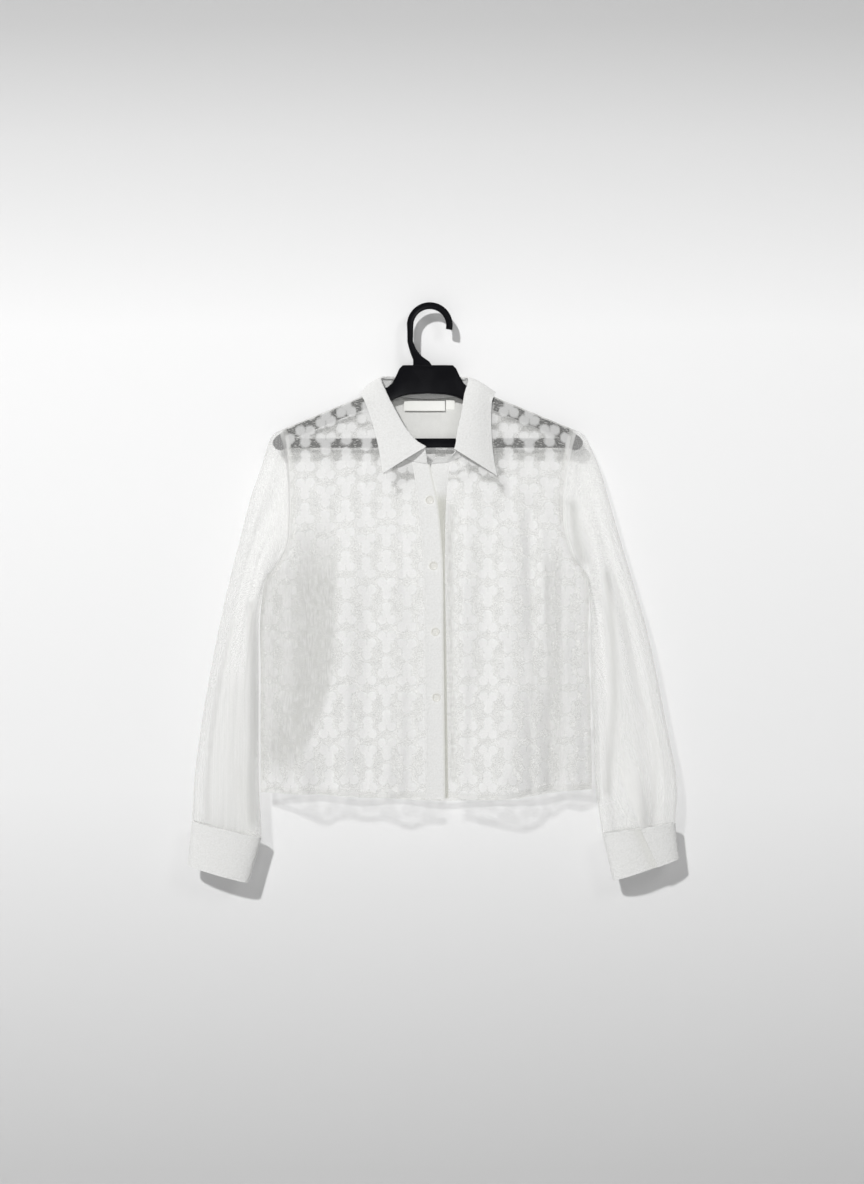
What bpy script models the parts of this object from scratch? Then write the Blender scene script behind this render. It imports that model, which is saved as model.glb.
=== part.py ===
"""A sheer cropped shirt with a large pointed collar, hanging on a flat moulded hanger.

The origin is the highest point inside the hanger's hook, where a rail or nail holds it.
+X is to the viewer's right, the shirt's front faces -Y and +Z is up. "Right" and "left" in
the names are the wearer's, so the right front is at -X. Tables are in millimetres.
"""

import bmesh
import bpy
import numpy as np

MM = 0.001

# Cloth
WALL = 1.2
PLACKET_WALL = 1.6
CUFF_WALL = 1.8
SEAM_GAP = 0.3
SHOULDER_ROUND = 4.7
SEAT_GAP = 0.6
DRAPE_LENGTH = 70.0

# Hanger: one flat moulding, laid out about its own centre line
HANGER_X = -1.7
HANGER_THICK = 5.0
HANGER_BEVEL = 2.2
ARM_START = 54.0
ARM_START_Z = -105.5
ARM_SLOPE = 0.4125
ARM_DEPTH = 16.0
HANGER_HALF = 209.5
BAR_TOP = -174.8
BAR_BOTTOM = -187.2
BAR_HALF = 196.0
HOOK_X = 1.0
HOOK_RADIUS = 30.9
HOOK_WIDTH = 8.8
HOOK_OUTER_LEG = ((-29.3, -16.0), (-29.3, -48.0), (-20.5, -67.0), (-22.5, -75.7))
HOOK_INNER_LEG = ((2.2, -75.7), (-5.0, -69.5), (-13.5, -58.5), (-21.7, -45.0), (-21.7, -16.0))
HOOK_TIP = ((23.5, -22.4), (27.2, -22.8))
# Half of the neck plate's outline, x from the centre line, and the arch of its lower edge
PLATE_SIDE = ((34.0, -76.0), (38.5, -81.0), (43.5, -93.0), (51.5, -104.0))
ARCH_HALF = 49.0
ARCH_Z = -123.0
ARCH_RISE = 9.0
ARM_SEAT = 2.2
ARM_CUT = 4.7
LOBE_RADIUS = 11.0
LOBE_Z = -180.5
ARM_TOP_END = 193.5
ARM_LOW_END = 150.0
BAR_SEAT = 172.0
BAR_LIP = 1.8
LOBE_LIP = 3.5

# Armhole, side seam and the body's rows
UNDERARM_RIGHT = -359.0
UNDERARM_LEFT = -357.0
HEM_SIDE_RIGHT = -652.0
HEM_SIDE_LEFT = -648.0
ARMHOLE_DEPTH = 13.0
SIDE_SEAM_DEPTH = 1.35
ARM_STEPS = 12
SHOULDER_POINTS = 8
BODY_ROWS = 10

# Edge of the body from the shoulder end down: armhole to the underarm, then the side seam
SIDE_RIGHT = (
    # z, x
    (-162.1, -197.0),
    (-190.0, -190.5),
    (-217.0, -187.5),
    (-285.0, -186.5),
    (-318.0, -190.0),
    (-341.0, -201.0),
    (-359.0, -217.0),
    (-376.0, -223.0),
    (-393.0, -225.5),
    (-500.0, -227.0),
    (-665.0, -227.0),
)
SIDE_LEFT = (
    # z, x
    (-162.4, 194.5),
    (-195.0, 187.0),
    (-231.0, 181.5),
    (-262.0, 179.5),
    (-316.0, 186.0),
    (-341.0, 197.0),
    (-357.0, 211.0),
    (-374.0, 214.0),
    (-447.0, 214.5),
    (-528.0, 217.4),
    (-660.0, 220.0),
)

# How far each layer stands from the hanger's plane down the middle of the shirt
MIDDLE = (
    # z, front, back
    (-105.0, 7.0, 7.0),
    (-165.0, 11.0, 9.0),
    (-213.0, 15.5, 11.0),
    (-260.0, 19.0, 12.0),
    (-330.0, 23.0, 14.0),
    (-420.0, 26.0, 15.0),
    (-520.0, 27.0, 15.0),
    (-670.0, 27.0, 14.0),
)
NECK_BULGE = 7.0
NECK_BULGE_WIDTH = 55.0
NECK_BULGE_Z = -118.0
NECK_BULGE_HEIGHT = 45.0

# Largest folds. push is outwards, so a trough is negative
FRONT_FOLDS = (
    # top_x, top_z, low_x, low_z, half_width, push
    (-158.0, -270.0, -160.0, -590.0, 23.0, -9.0),
    (-116.0, -300.0, -112.0, -700.0, 16.0, 4.5),
    (-172.0, -560.0, -172.0, -760.0, 17.0, 7.0),
    (-78.0, -330.0, -88.0, -720.0, 14.0, -4.0),
    (-48.0, -300.0, -54.0, -720.0, 17.0, 4.0),
    (74.0, -260.0, 62.0, -720.0, 15.0, -5.0),
    (100.0, -230.0, 116.0, -720.0, 18.0, 5.0),
    (137.0, -240.0, 138.0, -480.0, 9.0, -5.5),
    (160.0, -500.0, 168.0, -720.0, 13.0, -8.0),
    (197.0, -470.0, 199.0, -740.0, 12.0, 4.5),
)
BACK_FOLDS = (
    # top_x, top_z, low_x, low_z, half_width, push
    (-150.0, -250.0, -158.0, -730.0, 22.0, 5.0),
    (-98.0, -280.0, -104.0, -730.0, 17.0, -5.0),
    (-40.0, -330.0, -48.0, -730.0, 24.0, 5.5),
    (22.0, -250.0, 18.0, -730.0, 18.0, -5.0),
    (80.0, -300.0, 92.0, -730.0, 22.0, 5.0),
    (136.0, -260.0, 148.0, -730.0, 18.0, -5.0),
    (178.0, -380.0, 182.0, -730.0, 16.0, 4.0),
)
# The left front falls away behind the button placket, and its placket lies under that one
LEFT_SET_BACK = 2.2
LEFT_SET_BACK_END = 70.0
GULLY_X = 30.0
GULLY_HALF = 13.0
GULLY_PUSH = 7.0
GULLY_TOP = -222.0
GULLY_RUN = 60.0

HEM = (
    # x, front z, back z
    (-230.0, -652.0, -652.0),
    (-150.0, -651.5, -657.0),
    (-62.0, -655.5, -662.5),
    (15.0, -657.0, -665.0),
    (60.0, -658.5, -665.0),
    (110.0, -656.0, -664.0),
    (152.0, -649.5, -656.0),
    (222.0, -647.5, -648.0),
)

# Steps down a front neckline from the neck point, where the front and the stand share a point
NECK_STEPS = (0.0, 0.15, 0.8, 1.6, 2.45, 3.3)
NECK_RIGHT = (
    # x, z, from the centre front up to the neck point
    (-2.0, -211.0),
    (-30.0, -204.5),
    (-53.0, -186.0),
    (-66.5, -160.0),
    (-74.0, -133.0),
    (-77.0, -112.5),
)
# Steps along the back neckline, closer where it leaves the hanger's arm
BACK_NECK_STEPS = (0.0, 0.2, 0.45, 0.9, 1.45, 2.0, 2.55, 3.1, 3.55, 3.8, 4.0)
NECK_BACK = ((-77.0, -112.5), (-50.0, -117.5), (-4.0, -121.0), (50.0, -117.5), (77.0, -113.9))
NECK_LEFT = (
    # x, z, from the neck point down to the centre front
    (77.0, -113.9),
    (73.5, -140.0),
    (64.5, -172.0),
    (50.0, -196.0),
    (27.0, -208.0),
    (3.0, -210.5),
)
ROLL = (
    # x, y, z, from the right front end round the back to the left front end
    (-4.0, -20.0, -187.0),
    (-17.6, -17.5, -178.0),
    (-32.0, -15.0, -160.0),
    (-45.0, -12.0, -137.0),
    (-57.0, -8.5, -113.0),
    (-63.5, -1.0, -92.5),
    (-42.0, 11.0, -90.0),
    (-5.0, 15.0, -90.0),
    (34.0, 11.0, -91.0),
    (52.0, -1.0, -93.5),
    (47.0, -9.0, -117.0),
    (43.0, -12.0, -142.0),
    (37.5, -16.0, -167.0),
    (32.4, -19.0, -191.0),
    (9.5, -18.0, -196.5),
)
FALL_EDGE = (
    # x, z, layer it lies on: -1 front, 0 shoulder, 1 back
    (-62.0, -222.8, -1),
    (-66.0, -198.0, -1),
    (-73.0, -166.0, -1),
    (-81.0, -140.0, -1),
    (-88.5, -121.5, -1),
    (-93.0, -115.0, 0),
    (-62.0, -137.0, 1),
    (-5.0, -141.0, 1),
    (60.0, -137.0, 1),
    (89.0, -112.5, 0),
    (84.5, -127.0, -1),
    (83.7, -160.0, -1),
    (86.5, -200.0, -1),
    (91.8, -228.0, -1),
)
TANGENT_STEP = 0.02
ROLL_ROUND = 1.8
ROLL_LIMB = 2.2
FALL_LIFT = 2.4
STAND_LIFT = 0.9
STAND_LIFT_OVER_ARM = 3.4
STAND_LIFT_WIDTH = 5.5
FALL_END = 0.06
STAND_GAP = 1.5
STAND_END_GAP = 2.5
STAND_END_STEPS = 0.7
FALL_ROWS = 4
FALL_BOW = 3.0
FALL_LIFT_OVER_ARM = 1.2
FALL_LIFT_WIDTH = 7.0

# Plackets: the edge towards the front and the free edge
PLACKET_RIGHT = (
    # z, seam x, free x
    (-206.0, -23.3, 0.0),
    (-228.0, -19.5, 4.5),
    (-252.5, -16.0, 9.9),
    (-317.0, -9.7, 17.0),
    (-450.0, -6.5, 19.5),
    (-634.0, -4.2, 21.6),
    (-670.0, -4.0, 22.0),
)
PLACKET_LEFT = (
    # z, seam x, free x
    (-206.0, 28.0, 4.0),
    (-228.0, 26.0, 0.0),
    (-260.0, 23.0, -3.5),
    (-317.0, 21.5, -4.5),
    (-450.0, 23.0, -3.0),
    (-634.0, 25.5, -0.5),
    (-670.0, 26.0, 0.0),
)
PLACKET_LIFT = 1.5
PLACKET_COLUMNS = 3
PLACKET_TOP = -207.0
PLACKET_LOW = -655.0
PLACKET_DROP = 0.5
BUTTONS = (
    # x, z
    (1.1, -259.0),
    (5.9, -347.0),
    (8.5, -435.0),
    (9.9, -522.5),
)
BUTTON_RADIUS = 5.8
BUTTON_THICK = 2.4
BUTTON_RIM = 1.3
BUTTON_DISH = 0.7
BUTTON_HOLE = 0.85
BUTTON_HOLE_PITCH = 2.6
BUTTON_SIDES = 16
HOLE_SIDES = 6

# Sleeves: the outer and the inner edge of each section, its half depth in Y, and how much of
# the armhole's curve it still keeps
SLEEVE_RIGHT = (
    # outer_x, outer_z, inner_x, inner_z, half_depth, keep
    (-197.3, -162.1, -217.3, -359.0, 13.0, 1.00),
    (-209.5, -168.6, -219.6, -360.5, 14.0, 0.95),
    (-216.5, -181.0, -221.6, -364.5, 15.0, 0.85),
    (-227.6, -217.0, -225.6, -374.0, 17.0, 0.65),
    (-241.0, -256.0, -228.6, -388.0, 19.0, 0.42),
    (-255.0, -311.0, -230.0, -412.0, 20.0, 0.22),
    (-271.0, -375.0, -230.0, -446.0, 21.0, 0.08),
    (-289.0, -459.0, -230.0, -502.0, 21.0, 0.00),
    (-305.0, -548.0, -230.0, -571.0, 20.0, 0.00),
    (-315.5, -625.0, -229.6, -640.0, 18.0, 0.00),
    (-319.7, -690.0, -225.8, -712.7, 14.0, 0.00),
)
SLEEVE_LEFT = (
    # outer_x, outer_z, inner_x, inner_z, half_depth, keep
    (194.8, -162.4, 211.3, -357.0, 13.0, 1.00),
    (206.5, -168.3, 213.8, -358.5, 14.0, 0.95),
    (215.0, -180.0, 215.8, -362.5, 15.0, 0.85),
    (229.0, -212.0, 217.8, -372.0, 17.0, 0.65),
    (240.5, -250.0, 218.4, -386.0, 19.0, 0.42),
    (256.0, -305.0, 218.2, -410.0, 20.0, 0.22),
    (275.5, -370.0, 218.0, -444.0, 21.0, 0.08),
    (297.0, -446.0, 219.0, -500.0, 21.0, 0.00),
    (318.0, -550.0, 222.0, -570.0, 20.0, 0.00),
    (334.0, -636.0, 224.5, -638.0, 18.0, 0.00),
    (332.0, -692.0, 233.4, -706.8, 14.0, 0.00),
)
# Long creases of the sleeves, turn is the place round the section from the outer edge over
# the front (0 to 0.5) and back again, and push is outwards
SLEEVE_FOLDS_RIGHT = (
    # start, end, turn_at_start, turn_at_end, half_width, push
    (0.10, 1.00, 0.22, 0.165, 0.035, -7.0),
    (0.22, 0.90, 0.36, 0.37, 0.045, 4.0),
    (0.30, 0.92, 0.46, 0.46, 0.030, -2.5),
    (0.12, 0.96, 0.70, 0.74, 0.045, -8.0),
    (0.30, 0.95, 0.86, 0.88, 0.040, 3.0),
)
SLEEVE_FOLDS_LEFT = (
    # start, end, turn_at_start, turn_at_end, half_width, push
    (0.14, 1.00, 0.17, 0.185, 0.032, -5.0),
    (0.20, 1.00, 0.26, 0.25, 0.040, 3.5),
    (0.30, 0.98, 0.34, 0.35, 0.035, -8.0),
    (0.12, 0.96, 0.68, 0.72, 0.045, -8.0),
    (0.34, 0.95, 0.84, 0.87, 0.040, 3.0),
)
RING_COLUMNS = 24
SLEEVE_RINGS = 20
SLIT_RINGS = 3
SLIT_LAP = 0.035
SLIT_STEP = 2.6
# Column of the ring where each sleeve's slit stands, and how far it turns on its way down
SLIT_COLUMN_RIGHT = 17
SLIT_COLUMN_LEFT = 7
# Panels of each sleeve between its slit's line and its two edges
PANELS_RIGHT = (
    # name, first column, last column
    ("back_outer", 0, 7),
    ("front", 7, 19),
    ("back_inner", 19, 24),
)
PANELS_LEFT = (
    # name, first column, last column
    ("front_outer", 0, 7),
    ("back", 7, 19),
    ("front_inner", 19, 24),
)
SLIT_TURN = 0.045

# Cuffs: outer and inner edge at the lower side
CUFF_LOW_RIGHT = (-325.4, -750.6, -243.7, -774.2, 13.0)
CUFF_LOW_LEFT = (337.5, -741.5, 248.4, -770.9, 13.0)
CUFF_ROWS = 3
CUFF_LAP = 0.085
CUFF_STEP = 2.9
CUFF_STEP_TURN = 0.05

# Neck label and the small size tab beside it, on the inside of the back
LABEL = (-34.0, 21.5, -136.5, -123.0)
SIZE_TAB = (23.0, 34.5, -134.5, -122.2)
LABEL_WALL = 1.0
LABEL_COLUMNS = 5


def cubic(places, values, place):
    """A smooth curve through the values at the given places, read at place."""
    places = np.asarray(places, float)
    values = np.asarray(values, float)
    if places[0] > places[-1]:
        places, values = places[::-1], values[::-1]
    slopes = np.gradient(values, places)
    place = np.clip(place, places[0], places[-1])
    i = np.clip(np.searchsorted(places, place) - 1, 0, len(places) - 2)
    step = places[i + 1] - places[i]
    t = (place - places[i]) / step
    start = (2 * t**3 - 3 * t**2 + 1) * values[i] + (t**3 - 2 * t**2 + t) * step * slopes[i]
    end = (3 * t**2 - 2 * t**3) * values[i + 1] + (t**3 - t**2) * step * slopes[i + 1]
    return start + end


def column(table, number, place, key=0):
    """One column of a table whose rows are sorted by the key column."""
    rows = np.array(table, float)
    return cubic(rows[:, key], rows[:, number], place)


def along(stations, t):
    """Points of the smooth curve through stations that are one step of t apart."""
    rows = np.array(stations, float)
    steps = np.arange(len(rows))
    return np.stack([cubic(steps, rows[:, i], t) for i in range(rows.shape[1])], axis=-1)


def bell(distance, half_width):
    return np.exp(-((distance / half_width) ** 2))


def unit(vectors):
    return vectors / np.linalg.norm(vectors, axis=-1, keepdims=True)


def arm_top(x):
    """Height of the hanger arm's upper edge."""
    return ARM_START_Z - ARM_SLOPE * (np.abs(x - HANGER_X) - ARM_START)


def shoulder_z(x):
    """Height of the cloth's outer face along the shoulder, just above the hanger's arm."""
    return arm_top(x) + WALL + SEAT_GAP


def side_x(x, z):
    """The body's edge on the side where x lies."""
    return np.where(x < 0, column(SIDE_RIGHT, 1, z), column(SIDE_LEFT, 1, z))


def edge_depth(x, z):
    """How far a layer stands off along the armhole and the side seam."""
    underarm = np.where(x < 0, UNDERARM_RIGHT, UNDERARM_LEFT)
    top = SIDE_RIGHT[0][0]
    part = np.clip((top - z) / (top - underarm), 0, 1)
    return np.maximum(SIDE_SEAM_DEPTH, ARMHOLE_DEPTH * np.sqrt(1 - (1 - 2 * part) ** 2))


def fold_push(x, z, folds):
    """Sum of the folds at a point: each is a bell across and fades at both its ends."""
    total = np.zeros_like(x)
    for top_x, top_z, low_x, low_z, half_width, push in folds:
        part = (top_z - z) / (top_z - low_z)
        fade = np.clip(np.minimum(part, 1 - part) * 4, 0, 1)
        centre = top_x + (low_x - top_x) * np.clip(part, 0, 1)
        total += push * bell(x - centre, half_width) * fade * fade * (3 - 2 * fade)
    return total


def layer_depth(x, z, layer):
    """Distance of a layer's outer face from the hanger's plane: right, left or back."""
    x, z = np.broadcast_arrays(np.asarray(x, float), np.asarray(z, float))
    back = layer == "back"
    across = np.clip(np.abs(x / side_x(x, z)), 0, 1)
    inside = 1 - across**4
    middle = column(MIDDLE, 2 if back else 1, z)
    edge = edge_depth(x, z)
    lens = edge + (middle - edge) * inside
    below = np.maximum(shoulder_z(x) - z, 0)
    over_arm = np.sqrt(1 - (1 - np.minimum(below / SHOULDER_ROUND, 1)) ** 2)
    held = np.exp(-below / DRAPE_LENGTH)
    depth = SHOULDER_ROUND * held + lens * (1 - held)
    depth = depth + fold_push(x, z, BACK_FOLDS if back else FRONT_FOLDS) * (1 - across**8)
    if back:
        depth = depth + NECK_BULGE * bell(x, NECK_BULGE_WIDTH) * bell(z - NECK_BULGE_Z, NECK_BULGE_HEIGHT)
    if layer == "left":
        near = np.clip(1 - x / LEFT_SET_BACK_END, 0, 1)
        grow = np.clip((GULLY_TOP - z) / GULLY_RUN, 0, 1)
        depth = depth - LEFT_SET_BACK * near * near * (3 - 2 * near)
        depth = depth - GULLY_PUSH * bell(x - GULLY_X, GULLY_HALF) * grow
    return over_arm * depth


def on_layer(xz, layer, lift=0.0):
    """Points of a layer, moved out by lift."""
    depth = layer_depth(xz[..., 0], xz[..., 1], layer) + lift
    y = depth if layer == "back" else -depth
    return np.stack([xz[..., 0], y, xz[..., 1]], axis=-1)


def patch(top, low, left, right, rows, columns):
    """Points in the XZ plane that fill the space between four edges."""
    r = rows[:, None, None]
    s = columns[None, :, None]
    sides = (1 - s) * left[:, None] + s * right[:, None]
    ends = (1 - r) * top[None, :] + r * low[None, :]
    near = (1 - s) * ((1 - r) * left[0] + r * left[-1])
    far = s * ((1 - r) * right[0] + r * right[-1])
    return sides + ends - near - far


def finish_material(name, colour, roughness, alpha=1.0, metallic=0.0):
    made = bpy.data.materials.new(name)
    made.use_nodes = True
    shader = made.node_tree.nodes["Principled BSDF"]
    shader.inputs["Base Color"].default_value = (*colour, 1.0)
    shader.inputs["Roughness"].default_value = roughness
    shader.inputs["Metallic"].default_value = metallic
    shader.inputs["Alpha"].default_value = alpha
    made.diffuse_color = (*colour, alpha)
    return made


def add_object(name, mesh_builder, material, smooth=True):
    mesh = bpy.data.meshes.new(name)
    bmesh.ops.recalc_face_normals(mesh_builder, faces=mesh_builder.faces)
    mesh_builder.to_mesh(mesh)
    mesh_builder.free()
    mesh.materials.append(material)
    made = bpy.data.objects.new(name, mesh)
    bpy.context.scene.collection.objects.link(made)
    if smooth:
        mesh.shade_smooth()
        mesh.set_sharp_from_angle(angle=np.radians(50))
    return made


def grid_normals(points, ring, outward):
    """Normals of a grid of rows and columns. A ring's last column repeats its first."""
    down = np.gradient(points, axis=0)
    if ring:
        loop = points[:, :-1]
        across = np.roll(loop, -1, axis=1) - np.roll(loop, 1, axis=1)
        across = np.concatenate([across, across[:, :1]], axis=1)
    else:
        across = np.gradient(points, axis=1)
    return unit(np.cross(down, across)) * outward


def wall(name, points, thickness, material, inner=None, outward=1):
    """A closed cloth wall: the grid of outer points, the same grid moved in, and its edges."""
    rows, columns = points.shape[:2]
    if inner is None:
        inner = points - thickness * grid_normals(points, False, outward)
    builder = bmesh.new()
    outer_grid, inner_grid = (
        [[builder.verts.new(grid[r, c] * MM) for c in range(columns)] for r in range(rows)]
        for grid in (points, inner)
    )
    inner_of = {}
    for r in range(rows):
        for c in range(columns):
            inner_of[outer_grid[r][c]] = inner_grid[r][c]
    for r in range(rows - 1):
        for c in range(columns - 1):
            corners = (outer_grid[r][c], outer_grid[r + 1][c], outer_grid[r + 1][c + 1], outer_grid[r][c + 1])
            builder.faces.new(corners)
            builder.faces.new([inner_of[corner] for corner in reversed(corners)])
    rim = [edge for edge in builder.edges if len(edge.link_faces) == 1 and edge.verts[0] in inner_of]
    for edge in rim:
        a, b = edge.verts
        builder.faces.new((a, b, inner_of[b], inner_of[a]))
    return add_object(name, builder, material)


def armhole_parts():
    """Shares of the armhole's height where the body's rows and the sleeve's ring both have a point."""
    return (1 - np.cos(np.pi * np.arange(ARM_STEPS + 1) / ARM_STEPS)) / 2


def body_heights(table, underarm, hem):
    """Heights of the body's rows along one edge: round the arm's top, the armhole, the side seam."""
    top = table[0][0]
    armhole = top + (underarm - top) * armhole_parts()
    turned = np.array([top - 0.9, top - 2.2])
    seam = underarm + (hem - underarm) * np.arange(1, BODY_ROWS + 1) / BODY_ROWS
    return np.concatenate([armhole[:1], turned, armhole[1:], seam])


def edge_points(table, heights):
    return np.stack([column(table, 1, heights), heights], axis=-1)


def hem_points(x, layer):
    return np.stack([x, column(HEM, 2 if layer == "back" else 1, x)], axis=-1)


def shoulder_points(start_x, end_x, count):
    x = np.linspace(start_x, end_x, count)
    return np.stack([x, shoulder_z(x)], axis=-1)


def neckline_to(stations, x_end):
    """Points down a front neckline from its neck point to the place where it reaches x_end."""
    t = np.linspace(0, len(stations) - 1, 200)
    curve = along(stations, t)
    reach = np.interp(abs(x_end), np.abs(curve[::-1, 0]), t[::-1])
    return along(stations, np.array([*NECK_STEPS, reach]))


def set_seam_edges(points):
    """Moves the shoulder edge off the hanger's plane by half a seam gap."""
    near = np.abs(points[0, :, 1]) < SEAM_GAP / 2
    sign = np.sign(points[1, :, 1])
    points[0, near, 1] = sign[near] * SEAM_GAP / 2
    return points


def under_shoulder(points, inner):
    """Inner points of the shoulder edge, straight below the outer ones."""
    near = np.abs(points[0, :, 1]) <= SEAM_GAP / 2
    inner[0, near] = points[0, near] - np.array([0.0, 0.0, WALL])
    return inner


def armhole_inner(points, rows):
    """Inner points of a body edge along the armhole: straight in through the cloth.

    The sleeve's first ring is made the same way, so the two edges face each other.
    """
    edge = points[:rows]
    direction = np.zeros_like(edge)
    tangent = np.gradient(edge, axis=0)
    direction[:, 1] = -tangent[:, 2]
    direction[:, 2] = tangent[:, 1]
    inward = unit(direction)
    towards = np.sign(edge[:, 1:2]) * inward[:, 1:2]
    inward = np.where(towards > 0, -inward, inward)
    inward[0] = (0.0, 0.0, -1.0)
    return edge + WALL * inward


def build_front(name, layer, material):
    """One front: shoulder and neckline on top, armhole and side seam, placket seam and hem."""
    right = layer == "right"
    sign = -1 if right else 1
    stations = NECK_RIGHT[::-1] if right else NECK_LEFT
    side_table = SIDE_RIGHT if right else SIDE_LEFT
    placket_table = PLACKET_RIGHT if right else PLACKET_LEFT
    underarm = UNDERARM_RIGHT if right else UNDERARM_LEFT
    hem = HEM_SIDE_RIGHT if right else HEM_SIDE_LEFT
    heights = body_heights(side_table, underarm, hem)
    rows = (heights - heights[0]) / (heights[-1] - heights[0])
    side = edge_points(side_table, heights)
    seam_x = column(placket_table, 1, PLACKET_TOP) + sign * SEAM_GAP
    neck = neckline_to(stations, seam_x)
    top = np.concatenate([shoulder_points(side[0, 0], neck[0, 0], SHOULDER_POINTS), neck[1:]])
    top[0] = side[0]
    seam_z = neck[-1, 1] + (column(HEM, 1, seam_x) - neck[-1, 1]) * rows
    seam = np.stack([column(placket_table, 1, seam_z) + sign * SEAM_GAP, seam_z], axis=-1)
    seam[0] = neck[-1]
    columns = np.linspace(0, 1, len(top))
    low = hem_points(side[-1, 0] + (seam[-1, 0] - side[-1, 0]) * columns, layer)
    low[0], low[-1] = side[-1], seam[-1]
    points = on_layer(patch(top, low, side, seam, rows, columns), layer)
    points = set_seam_edges(points)
    if not right:
        points = points[:, ::-1]
    inner = under_shoulder(points, points - WALL * grid_normals(points, False, 1))
    edge = 0 if right else -1
    count = ARM_STEPS + 2
    inner[:count, edge] = armhole_inner(points[:, edge], count)
    return wall(name, points, WALL, material, inner=inner)


def build_back(material):
    right = edge_points(SIDE_RIGHT, body_heights(SIDE_RIGHT, UNDERARM_RIGHT, HEM_SIDE_RIGHT))
    left = edge_points(SIDE_LEFT, body_heights(SIDE_LEFT, UNDERARM_LEFT, HEM_SIDE_LEFT))
    rows = (right[:, 1] - right[0, 1]) / (right[-1, 1] - right[0, 1])
    neck = along(NECK_BACK, np.array(BACK_NECK_STEPS))
    over_right = shoulder_points(right[0, 0], neck[0, 0], SHOULDER_POINTS)[:-1]
    over_left = shoulder_points(neck[-1, 0], left[0, 0], SHOULDER_POINTS)[1:]
    top = np.concatenate([over_right, neck, over_left])
    top[0], top[-1] = right[0], left[0]
    columns = np.linspace(0, 1, len(top))
    low = hem_points(right[-1, 0] + (left[-1, 0] - right[-1, 0]) * columns, "back")
    low[0], low[-1] = right[-1], left[-1]
    points = on_layer(patch(top, low, right, left, rows, columns), "back")
    points = set_seam_edges(points)[:, ::-1]
    inner = under_shoulder(points, points - WALL * grid_normals(points, False, 1))
    count = ARM_STEPS + 2
    for edge in (0, -1):
        inner[:count, edge] = armhole_inner(points[:, edge], count)
    return wall("back", points, WALL, material, inner=inner)


def build_placket(name, layer, free_lift, material):
    """A folded strip along the front's edge, from the neckline to the hem."""
    stations = NECK_RIGHT[::-1] if layer == "right" else NECK_LEFT
    table = PLACKET_RIGHT if layer == "right" else PLACKET_LEFT
    seam_top = neckline_to(stations, column(table, 1, PLACKET_TOP))[-1]
    free_top = np.array([column(table, 2, PLACKET_TOP), stations[-1][1]])
    rows = np.linspace(0, 1, 2 * BODY_ROWS + 1)
    edges = []
    for number, start in ((1, seam_top), (2, free_top)):
        end_z = column(HEM, 1, column(table, number, PLACKET_LOW)) - PLACKET_DROP
        z = start[1] + (end_z - start[1]) * rows
        edges.append(np.stack([column(table, number, z), z], axis=-1))
    across = np.linspace(0, 1, PLACKET_COLUMNS + 1)[None, :, None]
    flat = edges[0][:, None] * (1 - across) + edges[1][:, None] * across
    points = on_layer(flat, layer)
    fade = np.clip(rows * 6, 0, 1)[:, None]
    points[..., 1] -= free_lift * across[..., 0] ** 2 * fade
    if layer == "left":
        points = points[:, ::-1]
    return wall(name, points, PLACKET_WALL, material)


def ring_points(outer, inner, half_depth, keep, turn, side_table, top_row):
    """Points of one sleeve section at the given turns: 0 is the outer edge, 0.5 the inner one."""
    angle = 2 * np.pi * turn
    share = (1 - np.cos(angle)) / 2
    flat = outer + (inner - outer) * share[:, None]
    first_outer, first_inner = top_row
    first = first_outer + (first_inner - first_outer) * share[:, None]
    armhole = column(side_table, 1, first[:, 1]) - (first[:, 0])
    x = flat[:, 0] + keep * (armhole + np.sign(outer[0]) * SEAM_GAP)
    swing = np.sin(angle)
    y = -half_depth * np.sign(swing) * np.abs(swing) ** 0.85
    return np.stack([x, y, flat[:, 1]], axis=-1)


def sleeve_fold(turn, place, folds):
    total = np.zeros_like(turn)
    for start, end, turn_start, turn_end, half_width, push in folds:
        part = (place - start) / (end - start)
        fade = np.clip(np.minimum(part, 1.25 - part) * 4, 0, 1)
        centre = turn_start + (turn_end - turn_start) * np.clip(part, 0, 1)
        total += push * bell((turn - centre + 0.5) % 1.0 - 0.5, half_width) * fade
    return total


def section(table, place):
    rows = np.array(table, float)
    return along(rows, place * (len(rows) - 1))


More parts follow.
